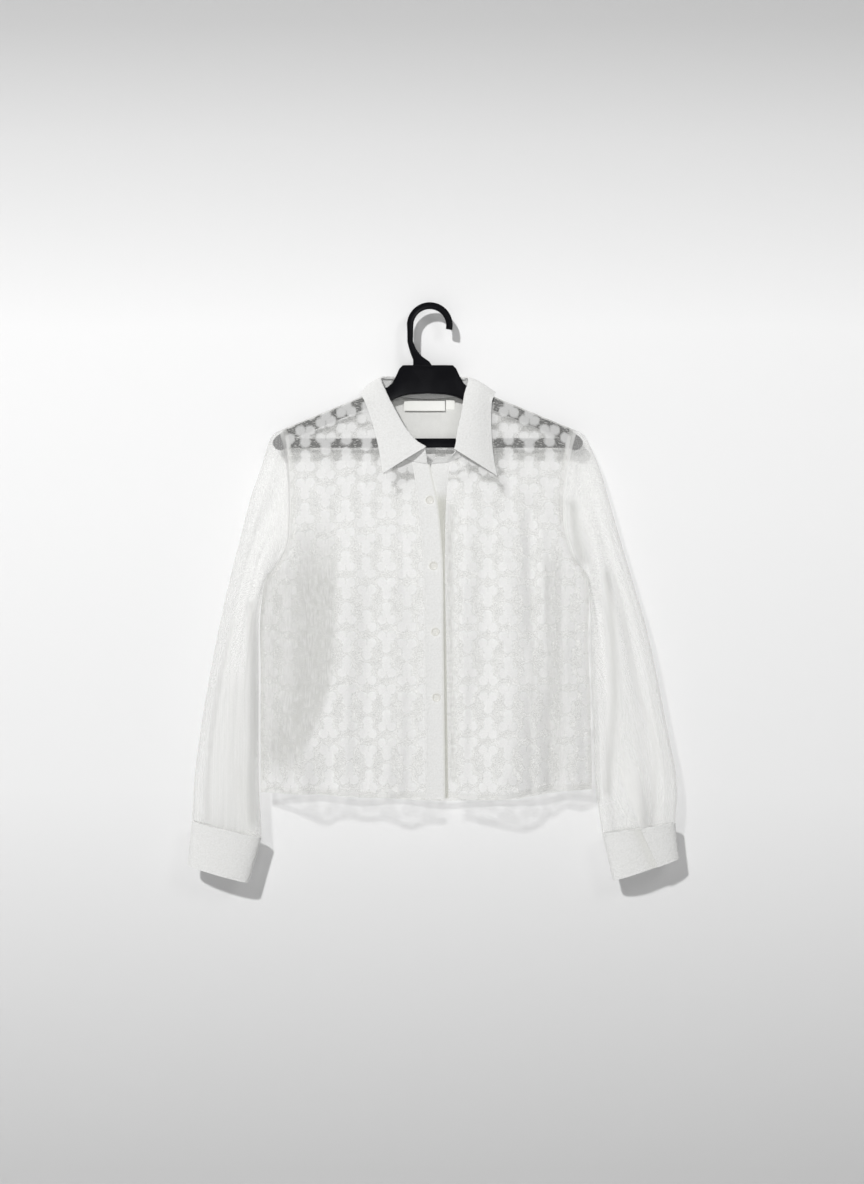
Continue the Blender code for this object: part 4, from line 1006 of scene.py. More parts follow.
# The outer and the inner edge of each section, its half depth in Y, and how much of the
# armhole's curve it still keeps
SLEEVE_RIGHT = (
    # outer_x, outer_z, inner_x, inner_z, half_depth, keep
    (-197.3, -162.1, -217.3, -359, 13, 1.00),
    (-209.5, -168.6, -219.6, -360.5, 14, 0.95),
    (-216.5, -181, -221.6, -364.5, 15, 0.85),
    (-227.6, -217, -225.6, -374, 17, 0.65),
    (-241, -256, -228.6, -388, 19, 0.42),
    (-255, -311, -230, -412, 20, 0.22),
    (-271, -375, -230, -446, 21, 0.08),
    (-289, -459, -230, -502, 21, 0.00),
    (-305, -548, -230, -571, 20, 0.00),
    (-315.5, -625, -229.6, -640, 18, 0.00),
    (-319.7, -690, -225.8, -712.7, 14, 0.00),
)
SLEEVE_LEFT = (
    # outer_x, outer_z, inner_x, inner_z, half_depth, keep
    (194.8, -162.4, 211.3, -357, 13, 1.00),
    (206.5, -168.3, 213.8, -358.5, 14, 0.95),
    (215, -180, 215.8, -362.5, 15, 0.85),
    (229, -212, 217.8, -372, 17, 0.65),
    (240.5, -250, 218.4, -386, 19, 0.42),
    (256, -305, 218.2, -410, 20, 0.22),
    (275.5, -370, 218, -444, 21, 0.08),
    (297, -446, 219, -500, 21, 0.00),
    (318, -550, 222, -570, 20, 0.00),
    (334, -636, 224.5, -638, 18, 0.00),
    (332, -692, 233.4, -706.8, 14, 0.00),
)
# Long folds: turn is the place round the section, from the outer edge over the front (0 to 0.5)
# and back again, and push is outwards
SLEEVE_FOLDS_RIGHT = (
    # start, end, turn_at_start, turn_at_end, half_width, push
    (0.10, 1.00, 0.22, 0.165, 0.035, -7),
    (0.22, 0.90, 0.36, 0.37, 0.045, 4),
    (0.30, 0.92, 0.46, 0.46, 0.030, -2.5),
    (0.12, 0.96, 0.70, 0.74, 0.045, -8),
    (0.30, 0.95, 0.86, 0.88, 0.040, 3),
)
SLEEVE_FOLDS_LEFT = (
    # start, end, turn_at_start, turn_at_end, half_width, push
    (0.14, 1.00, 0.17, 0.185, 0.032, -5),
    (0.20, 1.00, 0.26, 0.25, 0.040, 3.5),
    (0.30, 0.98, 0.34, 0.35, 0.035, -8),
    (0.12, 0.96, 0.68, 0.72, 0.045, -8),
    (0.34, 0.95, 0.84, 0.87, 0.040, 3),
)
# Small creases between them, which start and end at different heights
SLEEVE_CREASES_RIGHT = (
    # start, end, turn_at_start, turn_at_end, half_width, push
    (0.05, 0.42, 0.30, 0.27, 0.014, -1.6),
    (0.10, 0.55, 0.12, 0.10, 0.013, 1.5),
    (0.16, 0.62, 0.41, 0.42, 0.012, -1.7),
    (0.28, 0.86, 0.27, 0.29, 0.012, -1.8),
    (0.35, 0.93, 0.09, 0.08, 0.011, -1.5),
    (0.44, 0.97, 0.33, 0.32, 0.010, 1.6),
    (0.52, 1.00, 0.22, 0.24, 0.011, -1.4),
    (0.60, 1.00, 0.42, 0.43, 0.010, 1.5),
    (0.66, 1.00, 0.13, 0.125, 0.009, 1.3),
    (0.08, 0.50, 0.66, 0.63, 0.014, 1.6),
    (0.22, 0.78, 0.80, 0.82, 0.013, -1.8),
    (0.40, 0.95, 0.62, 0.60, 0.012, 1.6),
    (0.55, 1.00, 0.92, 0.91, 0.011, -1.4),
)
SLEEVE_CREASES_LEFT = (
    # start, end, turn_at_start, turn_at_end, half_width, push
    (0.04, 0.40, 0.26, 0.24, 0.014, -1.5),
    (0.08, 0.52, 0.40, 0.38, 0.013, 1.7),
    (0.18, 0.66, 0.12, 0.10, 0.012, -1.6),
    (0.26, 0.88, 0.30, 0.30, 0.011, 1.7),
    (0.34, 0.90, 0.43, 0.44, 0.011, -1.6),
    (0.42, 1.00, 0.21, 0.22, 0.010, -1.6),
    (0.50, 0.97, 0.08, 0.07, 0.011, 1.4),
    (0.58, 1.00, 0.38, 0.40, 0.010, -1.5),
    (0.68, 1.00, 0.13, 0.14, 0.009, 1.2),
    (0.10, 0.54, 0.60, 0.58, 0.014, 1.6),
    (0.24, 0.80, 0.77, 0.80, 0.013, -1.8),
    (0.38, 0.94, 0.64, 0.62, 0.012, -1.5),
    (0.56, 1.00, 0.90, 0.92, 0.011, 1.4),
)


def ring_points(outer, inner, half_depth, keep, turn, side_table, top_row):
    """Points of one sleeve section at the given turns: 0 is the outer edge, 0.5 the inner one."""
    angle = 2 * np.pi * turn
    share = (1 - np.cos(angle)) / 2
    flat = outer + (inner - outer) * share[:, None]
    first_outer, first_inner = top_row
    first = first_outer + (first_inner - first_outer) * share[:, None]
    armhole = column(side_table, 1, first[:, 1]) - first[:, 0]
    x = flat[:, 0] + keep * (armhole + np.sign(outer[0]) * SEAM_GAP)
    swing = np.sin(angle)
    y = -half_depth * np.sign(swing) * np.abs(swing) ** SECTION_FLATNESS
    return np.stack([x, y, flat[:, 1]], axis=-1)


def sleeve_fold(turn, place, folds):
    """Sum of the folds round one section. They run on a little past their ends before they fade."""
    total = np.zeros_like(turn)
    for start, end, turn_start, turn_end, half_width, push in folds:
        part = (place - start) / (end - start)
        centre = turn_start + (turn_end - turn_start) * ramp(part)
        away = (turn - centre + 0.5) % 1.0 - 0.5
        total += push * bell(away, half_width) * ramp(np.minimum(part, 1 + 1 / FADES - part) * FADES)
    return total


# Places round a section, counted in the CAD model's columns from the slit
ROUND_PLACES = np.arange(SLEEVE_COLUMNS + 1) * CAD_COLUMNS / SLEEVE_COLUMNS


def sleeve_grid(table, folds, side_table, slit_column, sign):
    """Rings of one sleeve. Below the slit's top the first and last columns lap over each other."""
    rows = np.array(table, float)
    top_row = (rows[0, :2], rows[0, 2:4])
    base = (ROUND_PLACES + slit_column) / CAD_COLUMNS
    lap_shape = np.interp(ROUND_PLACES, (0, 1, 2), (1.0, 0.5, 0.0))
    step_shape = np.interp(ROUND_PLACES, (0, 1, 2), (1.0, 0.6, 0.0))
    rings = []
    for part in np.linspace(0, 1, SLEEVE_RINGS):
        place = part**RING_GROWTH
        *edges, half_depth, keep = along(rows, place * (len(rows) - 1))
        down = ramp((part * (CAD_RINGS - 1) - (CAD_RINGS - 1 - SLIT_RINGS)) / SLIT_RINGS)
        turn = base - SLIT_TURN * down
        across = ramp((SLIT_RINGS * down - 1) / (SLIT_RINGS - 1))
        lapped = turn - SLIT_LAP * across * lap_shape
        outer, inner = np.array(edges).reshape(2, 2)
        ring = ring_points(outer, inner, half_depth, keep, lapped, side_table, top_row)
        swing = np.sin(2 * np.pi * lapped)
        x_body = ring[:, 0] - sign * SEAM_GAP
        ahead = -layer_depth(x_body, ring[:, 2], "right")
        behind = layer_depth(x_body, ring[:, 2], "back")
        at_seam = np.where(swing > 0, ahead, behind) * ramp(np.abs(swing) / EDGE_BLEND)
        leave = eased(place / CAP_BLEND)
        ring[:, 1] = at_seam * (1 - leave) + ring[:, 1] * leave
        push = sleeve_fold(lapped % 1.0, place, folds) * ramp(place / CAP_BLEND)
        ring[:, 1] += np.sign(ring[:, 1]) * push * np.abs(swing) ** 0.5
        ring[:, 1] -= np.sign(ring[:, 1]) * SLIT_STEP * min(SLIT_RINGS * down, 1.0) * step_shape
        rings.append(ring)
    return np.array(rings)


# Painted shade on the sleeves: soft dark lines in their fold valleys and creases, and in the gap at the left
# sleeve's armhole
PAINTED_SHADE_SLEEVES = {
    # half_width, strength, (x, z) stations
    "sleeve_right": (
        (3.0, 0.55, ((-262, -421), (-288, -547), (-297, -657), (-296, -690))),
        (7.0, 0.75, ((-238, -400), (-236, -470), (-235, -560), (-238, -640), (-236, -690))),
        (26.0, 0.30, ((-262, -520), (-268, -600), (-270, -680))),
    ),
    "sleeve_left": (
        (6.0, 0.90, ((238, -357), (246, -456), (248, -543), (240, -650))),
        (3.0, 0.50, ((250, -362), (278, -504), (302, -586), (303, -672))),
        (8.5, 1.00, ((193, -266), (197, -305), (205, -340))),
    ),
}
CLOSED_RINGS = round(SLEEVE_RINGS * (CAD_RINGS - 1 - SLIT_RINGS) / (CAD_RINGS - 1))

# Organza with a lengthwise crinkle, set by heat: clearer and denser stripes a few threads wide
crinkle_organza, tree, shader = finish("crinkled_organza")
chart = node(tree, "UVMap", {"uv_map": "along_cloth"}).outputs["UV"]
stripes = node(tree, "Mapping", {"Scale": (400.0, 2.2, 1.0)}, {"Vector": chart})
pleat = node(tree, "TexNoise", {"Scale": 1.0, "Detail": 2.0}, {"Vector": stripes})
net = node(tree, "TexNoise", {"Scale": 820.0, "Detail": 2.0}, {"Vector": chart})
density = node(
    tree, "MapRange", {"From Min": 0.3, "From Max": 0.7, "To Min": 0.27, "To Max": 0.32},
    {"Value": pleat.outputs["Fac"]},
)
speckle = node(
    tree, "Math", {"operation": "MULTIPLY_ADD", 1: 0.16}, {0: net.outputs["Fac"], 2: density}
)
thinner = node(tree, "Math", {"operation": "SUBTRACT", 1: 0.08}, {0: speckle})
# Painted shade: where the attribute marks it, the sleeve's cloth turns grey and denser
folds = node(tree, "Attribute", {"attribute_name": "painted_shade"})
painted_shade_mask = node(tree, "Math", {"operation": "MULTIPLY", 1: 0.8}, {0: folds.outputs["Fac"]})
cover, _ = stacked_cover(tree, thinner, painted_shade_mask)
bump = node(tree, "Bump", {"Strength": 0.06, "Distance": 0.0005}, {"Height": pleat.outputs["Fac"]})
shaded = node(
    tree, "Mix", {"data_type": "RGBA", 6: linear("e6e6e4"), 7: linear(PAINTED_SHADE_GREY)},
    {0: painted_shade_mask},
)
dress(
    shader, {"Alpha": cover, "Base Color": shaded.outputs[2], "Normal": bump},
    {"Roughness": 0.70, "Sheen Weight": 0.12},
)

for name, panels, table, folds, side_table, slit_column, sign, cut_size in (
    ("sleeve_right", ("back_outer", "front", "back_inner"), SLEEVE_RIGHT,
     SLEEVE_FOLDS_RIGHT + SLEEVE_CREASES_RIGHT, SIDE_RIGHT, SLIT_COLUMN_RIGHT, -1, (0.215, 0.572, 0.0891)),
    ("sleeve_left", ("front_outer", "back", "front_inner"), SLEEVE_LEFT,
     SLEEVE_FOLDS_LEFT + SLEEVE_CREASES_LEFT, SIDE_LEFT, SLIT_COLUMN_LEFT, 1, (0.240, 0.571, 0.1035)),
):
    grid = sleeve_grid(table, folds, side_table, slit_column, sign)
    down = arc_along(grid, 0, [0, 1, 2])
    round_ring = arc_along(grid, 1, [0, 1, 2])
    from_slit = np.minimum(round_ring, round_ring[:, -1:] - round_ring)
    in_slit = ramp((np.arange(SLEEVE_RINGS) - CLOSED_RINGS) / SLIT_FADE_RINGS)[:, None]
    doubled = np.maximum(band(down, SEAM_ALLOWANCE), band(from_slit, SLIT_DOUBLED * in_slit) * in_slit)
    if sign > 0:
        grid, doubled = grid[:, ::-1], doubled[:, ::-1]
    painted_shade = painted_shade_lines(grid, PAINTED_SHADE_SLEEVES[name])
    sleeve = cloth(name, grid, SHEER_THICK, SLEEVE_COLUMNS // 2, CLOSED_RINGS, doubled, haze, painted_shade)
    settle(sleeve, crinkle_organza, "sheer_sleeve", *(f"{name}_{panel}" for panel in panels))


# Cuffs: bands of thick crinkled crepe, doubled and turned out along the sleeve's end. The ends
# lap, and the under end shows below the upper one where nothing is buttoned.

CUFF_THICK = 1.8
CUFF_ROWS = 26
CUFF_LAP = 0.085
CUFF_STEP = 2.9
CUFF_STEP_TURN = 0.05
CUFF_TOP_GAP = 0.6
# A painted shadow on each cuff's under end, along the edge of the end that laps over it
LAP_SHADE = 0.4
LAP_PLACE = 0.95
LAP_HALF = 0.45
CUFF_LOW_RIGHT = (-325.4, -750.6, -243.7, -774.2, 13.0)
CUFF_LOW_LEFT = (337.5, -741.5, 248.4, -770.9, 13.0)
CRINKLE_DEPTH = 0.28


def crinkles(points, size):
    """The crepe's relief: pebbles a few millimetres across that run into each other."""
    x, y, z = points[..., 0] / size, points[..., 1] / size, points[..., 2] / size
    waves = np.sin(2.1 * x + 1.7 * np.sin(1.3 * z + 0.6 * y)) + np.sin(2.6 * z + 1.4 * np.sin(1.9 * x - y))
    return waves + 0.6 * np.sin(3.7 * (x + z) + 1.1 * np.sin(2.9 * y + x))


def cuff_grid(table, low, side_table, slit_column):
    """A band round the sleeve's end whose ends lap, the first column under the last one."""
    rows = np.array(table, float)
    top_row = (rows[0, :2], rows[0, 2:4])
    above = rows[-1, :5]
    below = np.array(low, float)
    turn = (ROUND_PLACES + slit_column) / CAD_COLUMNS - SLIT_TURN
    lap = np.interp(ROUND_PLACES, (0, 1, 2), (-CUFF_LAP, -CUFF_LAP / 3, 0.0))
    under = np.interp(ROUND_PLACES, (0, 1, 2, 3), (1.0, 1.0, 0.45, 0.0))
    rings = []
    direction = unit(below[:4] - above[:4])
    start = above.copy()
    start[:4] += CUFF_TOP_GAP * direction
    for part in np.linspace(0, 1, CUFF_ROWS):
        *edges, half_depth = start + (below - start) * part
        outer, inner = np.array(edges).reshape(2, 2)
        turned = turn + lap - CUFF_STEP_TURN * part
        ring = ring_points(outer, inner, half_depth, 0.0, turned, side_table, top_row)
        centre = np.insert((outer + inner) / 2, 1, 0.0)
        ring += unit(centre - ring) * (CUFF_STEP * under)[:, None]
        rings.append(ring)
    return np.array(rings)


# Crepe of crinkled polyester: matt white, with pebbles that the raking light picks out
crepe, tree, shader = finish("crinkled_polyester_crepe")
place = node(tree, "TexCoord").outputs["Object"]
pebble = node(tree, "TexVoronoi", {"Scale": 420.0, "Randomness": 1.0}, {"Vector": place})
fibre = node(tree, "TexNoise", {"Scale": 900.0, "Detail": 3.0}, {"Vector": place})
relief = node(
    tree, "Math", {"operation": "MULTIPLY_ADD", 1: 0.6},
    {0: fibre.outputs["Fac"], 2: pebble.outputs["Distance"]},
)
bump = node(tree, "Bump", {"Strength": 0.5, "Distance": 0.0008}, {"Height": relief})
shade = node(
    tree, "Mix", {"data_type": "RGBA", 6: linear("e4e4e3"), 7: linear("dbdbd9")},
    {0: pebble.outputs["Distance"]},
)
# The doubled attribute paints shade on the crepe: a painted shadow of the buttonhole band on the
# button band's sewn edge, a painted shade line on the buttonhole band's free edge, and painted
# shadows beside the cuffs' laps
second = node(tree, "Attribute", {"attribute_name": "doubled"})
painted_shade_tint = node(
    tree, "Mix", {"data_type": "RGBA", 7: linear("cacac3")},
    {0: second.outputs["Fac"], 6: shade.outputs[2]},
)
dress(shader, {"Base Color": painted_shade_tint.outputs[2], "Normal": bump}, {"Roughness": 0.82, "Sheen Weight": 0.10})


def pebbled(grid, depth, size):
    """The grid with the crepe's relief on it."""
    return grid + grid_normals(grid) * (depth * crinkles(grid, size))[..., None]


cuff_grids = {}
for name, table, low, side_table, slit_column, sign in (
    ("cuff_right", SLEEVE_RIGHT, CUFF_LOW_RIGHT, SIDE_RIGHT, SLIT_COLUMN_RIGHT, -1),
    ("cuff_left", SLEEVE_LEFT, CUFF_LOW_LEFT, SIDE_LEFT, SLIT_COLUMN_LEFT, 1),
):
    grid = cuff_grid(table, low, side_table, slit_column)
    # The painted lap shadow goes to the crepe's grey by the doubled attribute
    painted_lap_shadow = LAP_SHADE * bell(ROUND_PLACES - LAP_PLACE, LAP_HALF)
    if sign > 0:
        grid, painted_lap_shadow = grid[:, ::-1], painted_lap_shadow[::-1]
    grid = cuff_grids[name] = pebbled(grid, CRINKLE_DEPTH / 3, 2.6)
    doubled = np.broadcast_to(painted_lap_shadow, grid.shape[:2])
    cuff = cloth(name, grid, CUFF_THICK, SLEEVE_COLUMNS // 2, doubled=doubled)
    settle(cuff, crepe, "crepe_trim", name)


# Plackets: folded crepe bands down the two fronts' edges. The buttonhole band lies over the
# button band, and below the collar the two stand a little apart.

PLACKET_THICK = 1.6
PLACKET_FREE_RIGHT = (
    # z, x
    (-206, 0),
    (-228, 4.5),
    (-252.5, 9.9),
    (-317, 17),
    (-450, 19.5),
    (-634, 21.6),
    (-670, 22),
)
PLACKET_FREE_LEFT = (
    # z, x
    (-206, 4),
    (-228, 0),
    (-260, -3.5),
    (-317, -4.5),
    (-450, -3),
    (-634, -0.5),
    (-670, 0),
)
PLACKET_LIFT = 1.5
LIFT_QUICKLY = 6
# Painted shadow that the buttonhole band casts on the button band's strip beside it, from a little below the
# collar down, and a painted shade line along the buttonhole band's free edge
PAINTED_BAND_SHADOW_WIDTH = 14.0
PAINTED_BAND_SHADOW_FROM = -246.0
PAINTED_BAND_SHADOW_FADE = 16.0
FREE_EDGE_SHADE = 0.7
PLACKET_ROWS = 190
PLACKET_COLUMNS = 9
PLACKET_LOW = -655.0
PLACKET_DROP = 0.5

placket_grids = {}
for name, layer, stations, seam_table, free_table, free_lift in (
    ("placket_under", "left", NECK_LEFT, PLACKET_SEAM_LEFT, PLACKET_FREE_LEFT, 0.0),
    (
        "placket_buttonholes", "right", NECK_RIGHT[::-1], PLACKET_SEAM_RIGHT, PLACKET_FREE_RIGHT,
        PLACKET_LIFT,
    ),
):
    seam_top = neckline_to(stations, seam_x(seam_table, PLACKET_TOP), 4)[-1]
    free_top = np.array([column(free_table, 1, PLACKET_TOP), stations[-1][1]])
    part = np.linspace(0, 1, PLACKET_ROWS)
    edges = []
    for table, start in ((seam_table, seam_top), (free_table, free_top)):
        end_z = column(HEM, 1, column(table, 1, PLACKET_LOW)) - PLACKET_DROP
        z = start[1] + (end_z - start[1]) * part
        edges.append(np.stack([column(table, 1, z), z], axis=-1))
    across = np.linspace(0, 1, PLACKET_COLUMNS)[None, :]
    flat = edges[0][:, None] * (1 - across[..., None]) + edges[1][:, None] * across[..., None]
    grid = on_layer(flat, layer)
    grid[..., 1] -= free_lift * across**2 * ramp(part * LIFT_QUICKLY)[:, None]
    grid[..., 1] -= CRINKLE_DEPTH / 3 * crinkles(grid, 2.2)
    # Painted shadow on the button band by its seam, and a painted shade line on the buttonhole band's free
    # edge
    if layer == "left":
        painted_band_shade = band(arc_along(grid, 1, [0, 1]), PAINTED_BAND_SHADOW_WIDTH)
        painted_band_shade *= ramp((PAINTED_BAND_SHADOW_FROM - grid[..., 2]) / PAINTED_BAND_SHADOW_FADE)
        grid, painted_band_shade = grid[:, ::-1], painted_band_shade[:, ::-1]
    else:
        painted_band_shade = FREE_EDGE_SHADE * np.broadcast_to(across == 1, grid.shape[:2])
    placket_grids[name] = grid
    placket = cloth(name, grid, PLACKET_THICK, doubled=painted_band_shade)
    placket.visible_shadow = False
    settle(placket, crepe, "crepe_trim", name)


# Buttons: four on the under band, moulded of pearly resin with a raised rim, a dished middle
# and four holes, sewn on through the upper band's buttonholes with two bars of thread.

BUTTONS = ((1.1, -259.0), (5.9, -347.0), (8.5, -435.0), (9.9, -522.5))
BUTTON_RADIUS = 5.8
BUTTON_THICK = 2.4
BUTTON_GAP = 0.3
BUTTON_RIM = 1.3
BUTTON_DISH = 0.7
BUTTON_SLOPE = 0.6
HOLE_RADIUS = 0.8
HOLE_PITCH = 2.6
THREAD_RADIUS = 0.42
THREAD_OVER = 0.9


def placket_face(x, z):
    """Y of the buttonhole band's outer face."""
    start = column(PLACKET_SEAM_RIGHT, 1, z)
    free = column(PLACKET_FREE_RIGHT, 1, z)
    return -(layer_depth(x, z, "right") + PLACKET_LIFT * ramp((x - start) / (free - start)) ** 2)


def button_seat(x, z):
    """Middle of a button's back, and the ways across, up and out, lying along the band."""
    angles = 2 * np.pi * np.arange(16) / 16
    rim = BUTTON_RADIUS * np.column_stack([np.cos(angles), np.sin(angles)])
    around = np.vstack([rim, (0.0, 0.0)])
    face = placket_face(x + around[:, 0], z + around[:, 1])
    plane = np.column_stack([around, np.ones(len(around))])
    slope_x, slope_z, level = np.linalg.lstsq(plane, face, rcond=None)[0]
    proud = np.max(plane @ np.array([slope_x, slope_z, level]) - face)
    across = unit(np.array([1.0, slope_x, 0.0]))
    out = unit(np.array([slope_x, -1.0, slope_z]))
    return np.array([x, level, z]) + out * (BUTTON_GAP + proud), across, np.cross(out, across), out


def turned_disc(name, radius, depth, z, sides):
    """A disc whose middle lies at height z, to be shaped further."""
    bpy.ops.object.select_all(action="DESELECT")
    bpy.ops.mesh.primitive_cylinder_add(
        vertices=sides, radius=radius * MM, depth=depth * MM, location=(0, 0, z * MM)
    )
    made = bpy.context.object
    made.name = name
    bpy.ops.object.transform_apply(location=True, rotation=True, scale=True)
    return made


model_button = turned_disc("model_button", BUTTON_RADIUS, BUTTON_THICK, BUTTON_THICK / 2, 40)
pick(model_button, lambda middle, normal: normal.z > 0.9)
bpy.ops.object.mode_set(mode="EDIT")
bpy.ops.mesh.inset(thickness=BUTTON_RIM * MM)
bpy.ops.mesh.inset(thickness=BUTTON_SLOPE * MM, depth=-BUTTON_DISH * MM)
bpy.ops.object.mode_set(mode="OBJECT")
modify(
    model_button, "BEVEL", width=0.35 * MM, segments=3, limit_method="ANGLE",
    angle_limit=math.radians(30),
)
for across_hole in (-HOLE_PITCH / 2, HOLE_PITCH / 2):
    for up_hole in (-HOLE_PITCH / 2, HOLE_PITCH / 2):
        drill = turned_disc("drill", HOLE_RADIUS, 3 * BUTTON_THICK, 0.0, 14)
        drill.data.transform(Matrix.Translation((across_hole * MM, up_hole * MM, 0)))
        modify(model_button, "BOOLEAN", operation="DIFFERENCE", solver="EXACT", object=drill)
        bpy.data.objects.remove(drill, do_unlink=True)
only(model_button)
bpy.ops.object.shade_smooth_by_angle(angle=math.radians(35))

model_thread = turned_disc("model_thread", THREAD_RADIUS, HOLE_PITCH + THREAD_OVER, 0.0, 10)
model_thread.data.transform(Matrix.Rotation(math.pi / 2, 4, "Y"))
modify(
    model_thread, "BEVEL", width=0.25 * MM, segments=2, limit_method="ANGLE",
    angle_limit=math.radians(30),
)

# Pearly polyester resin: a soft gloss with faint clouds in it
resin, tree, shader = finish("pearly_polyester_resin")
place = node(tree, "TexCoord").outputs["Object"]
pearl = node(tree, "TexNoise", {"Scale": 330.0, "Detail": 3.0, "Distortion": 1.5}, {"Vector": place})
cloudy = node(
    tree, "Mix", {"data_type": "RGBA", 6: linear("e6e5e0"), 7: linear("cecdc7")},
    {0: pearl.outputs["Fac"]},
)
dress(shader, {"Base Color": cloudy.outputs[2]}, {"Roughness": 0.24, "IOR": 1.54, "Coat Weight": 0.3})

# Spun polyester sewing thread: twisted, faintly bright along its back
thread, tree, shader = finish("white_sewing_thread")
place = node(tree, "TexCoord").outputs["Object"]
twist = node(tree, "TexNoise", {"Scale": 2600.0, "Detail": 2.0}, {"Vector": place})
strand = node(
    tree, "Mix", {"data_type": "RGBA", 6: linear("ecebe9"), 7: linear("cfcfcb")},
    {0: twist.outputs["Fac"]},
)
dress(shader, {"Base Color": strand.outputs[2]}, {"Roughness": 0.6, "Sheen Weight": 0.2})

for number, (x, z) in enumerate(BUTTONS, start=1):
    seat, across, up, out = button_seat(x, z)
    turn = Matrix([*np.column_stack([across, up, out, seat * MM]), (0, 0, 0, 1)])
    for model, name, material, side in (
        (model_button, f"button_{number}", resin, 0),
        (model_thread, f"button_thread_{number}_upper", thread, 1),
        (model_thread, f"button_thread_{number}_lower", thread, -1),
    ):
        made = bpy.data.objects.new(name if side else f"{name}_resin", model.data.copy())
        bpy.context.scene.collection.objects.link(made)
        if side:
            lift = (BUTTON_THICK - BUTTON_DISH + 0.1) * MM
            made.data.transform(Matrix.Translation((0, side * HOLE_PITCH / 2 * MM, lift)))
        made.data.transform(turn)
        made.visible_shadow = False
        settle(made, material, "button_resin", *(() if side else (name,)))
for model in (model_button, model_thread):
    bpy.data.objects.remove(model, do_unlink=True)


# Collar: a stand sewn into the neckline and a fall with long points turned down over it, both
# of crepe in two layers. The fall rolls over the stand's top and its points lie on the fronts.

CREPE_THICK = 1.2
ROLL = (
    # x, y, z, from the right front end round the back to the left front end
    (-4, -20, -187),
    (-17.6, -17.5, -178),
    (-32, -15, -160),
    (-45, -12, -137),
    (-57, -8.5, -113),
    (-63.5, -1, -92.5),
    (-42, 11, -90),
    (-5, 15, -90),
    (34, 11, -91),
    (52, -1, -93.5),
    (47, -9, -117),
    (43, -12, -142),
    (37.5, -16, -167),
    (32.4, -19, -191),
    (9.5, -18, -196.5),
)
FALL_EDGE = (
    # x, z, layer it lies on: -1 front, 0 shoulder, 1 back
    (-62, -222.8, -1),
    (-66, -198, -1),
    (-73, -166, -1),
    (-81, -140, -1),
    (-88.5, -121.5, -1),
    (-93, -115, 0),
    (-62, -137, 1),
    (-5, -141, 1),
    (60, -137, 1),
    (89, -112.5, 0),
    (84.5, -127, -1),
    (83.7, -160, -1),
    (86.5, -200, -1),
    (91.8, -228, -1),
)
TANGENT_STEP = 0.02
ROLL_ROUND = 1.8
ROLL_LIMB = 2.2
FALL_LIFT = 2.4
FALL_LIFT_OVER_ARM = 1.2
FALL_LIFT_WIDTH = 7.0
FALL_BOW = 3.0
FALL_END = 0.06
FALL_ROWS = 30
STAND_LIFT = 0.9
STAND_LIFT_OVER_ARM = 3.4
STAND_LIFT_WIDTH = 5.5
STAND_GAP = 1.5
STAND_END_GAP = 2.5
STAND_END_STEPS = 0.7
STAND_ROWS = 16
COLLAR_STEPS = 300
FRONTS_MEET = 10.0


def neck_seam(t):
    """Points of the neckline seam: the right front to t = 5, the back to 9, then the left front."""
    made = np.zeros((len(t), 3))
    for stations, layer, start in ((NECK_RIGHT, "right", 0), (NECK_BACK, "back", 5), (NECK_LEFT, "left", 9)):
        inside = (t >= start) & (t <= start + len(stations) - 1)
        made[inside] = on_layer(along(stations, t[inside] - start), layer)
    return made


def clear_of_body(points, lift):
    """Moves points out until they lie lift above the body's layer under them."""
    x, y, z = points[..., 0], points[..., 1], points[..., 2]
    layer = np.where(x < FRONTS_MEET, layer_depth(x, z, "right"), layer_depth(x, z, "left"))
    front = np.minimum(y, -(layer + lift))
    back = np.maximum(y, layer_depth(x, z, "back") + lift)
    below = z < shoulder_z(x) + lift
    points = points.copy()
    points[..., 1] = np.where(below & (y < 0), front, np.where(below, back, y))
    return points


def fall_edge():
    """The collar's outer edge at each station, resting on the layer below it."""
    made = []
    for x, z, layer in FALL_EDGE:
        name = "back" if layer > 0 else ("right" if x < FRONTS_MEET else "left")
        made.append((x, layer * (float(layer_depth(x, z, name)) + FALL_LIFT), z))
    return made


def collar_sections(t):
    """Centre of the roll's round, the ways down, out and to the stand, the seam and the edge."""
    roll = along(ROLL, t)
    last = len(ROLL) - 1
    ahead = along(ROLL, np.minimum(t + TANGENT_STEP, last))
    tangent = unit(ahead - along(ROLL, np.maximum(t - TANGENT_STEP, 0)))
    seam = neck_seam(t)
    edge = along(fall_edge(), np.minimum(t, len(FALL_EDGE) - 1))
    to_seam = unit(seam - roll)
    to_edge = unit(edge - roll)
    down = unit(to_seam + to_edge)
    out = unit(np.cross(tangent, down))
    down = unit(np.cross(out, tangent))
    to_seam = unit(to_seam - out * np.sum(to_seam * out, axis=1, keepdims=True))
    centre = roll + down * ROLL_ROUND
    return centre, down, out, to_seam, seam, edge


t = np.linspace(0, len(FALL_EDGE) - 1 - FALL_END, COLLAR_STEPS)
centre, down, out, to_seam, _, edge = collar_sections(t)
lines = [centre + to_seam * ROLL_LIMB - out * ROLL_ROUND]
for angle in np.radians((0, 35, 70, 105, 140, 175)):
    lines.append(centre - (out * np.cos(angle) + down * np.sin(angle)) * ROLL_ROUND)
for part in np.linspace(0, 1, FALL_ROWS)[1:]:
    bow = FALL_BOW * np.sin(np.pi * part) * (1 - 0.4 * part)
    line = centre + (edge - centre) * part + out * (ROLL_ROUND * (1 - part) + bow)
    lift = FALL_LIFT + FALL_LIFT_OVER_ARM * bell(line[:, 1], FALL_LIFT_WIDTH)
    lines.append(clear_of_body(line, lift))
fall_grid = pebbled(np.array(lines)[:, ::-1], CRINKLE_DEPTH / 4, 2.4)

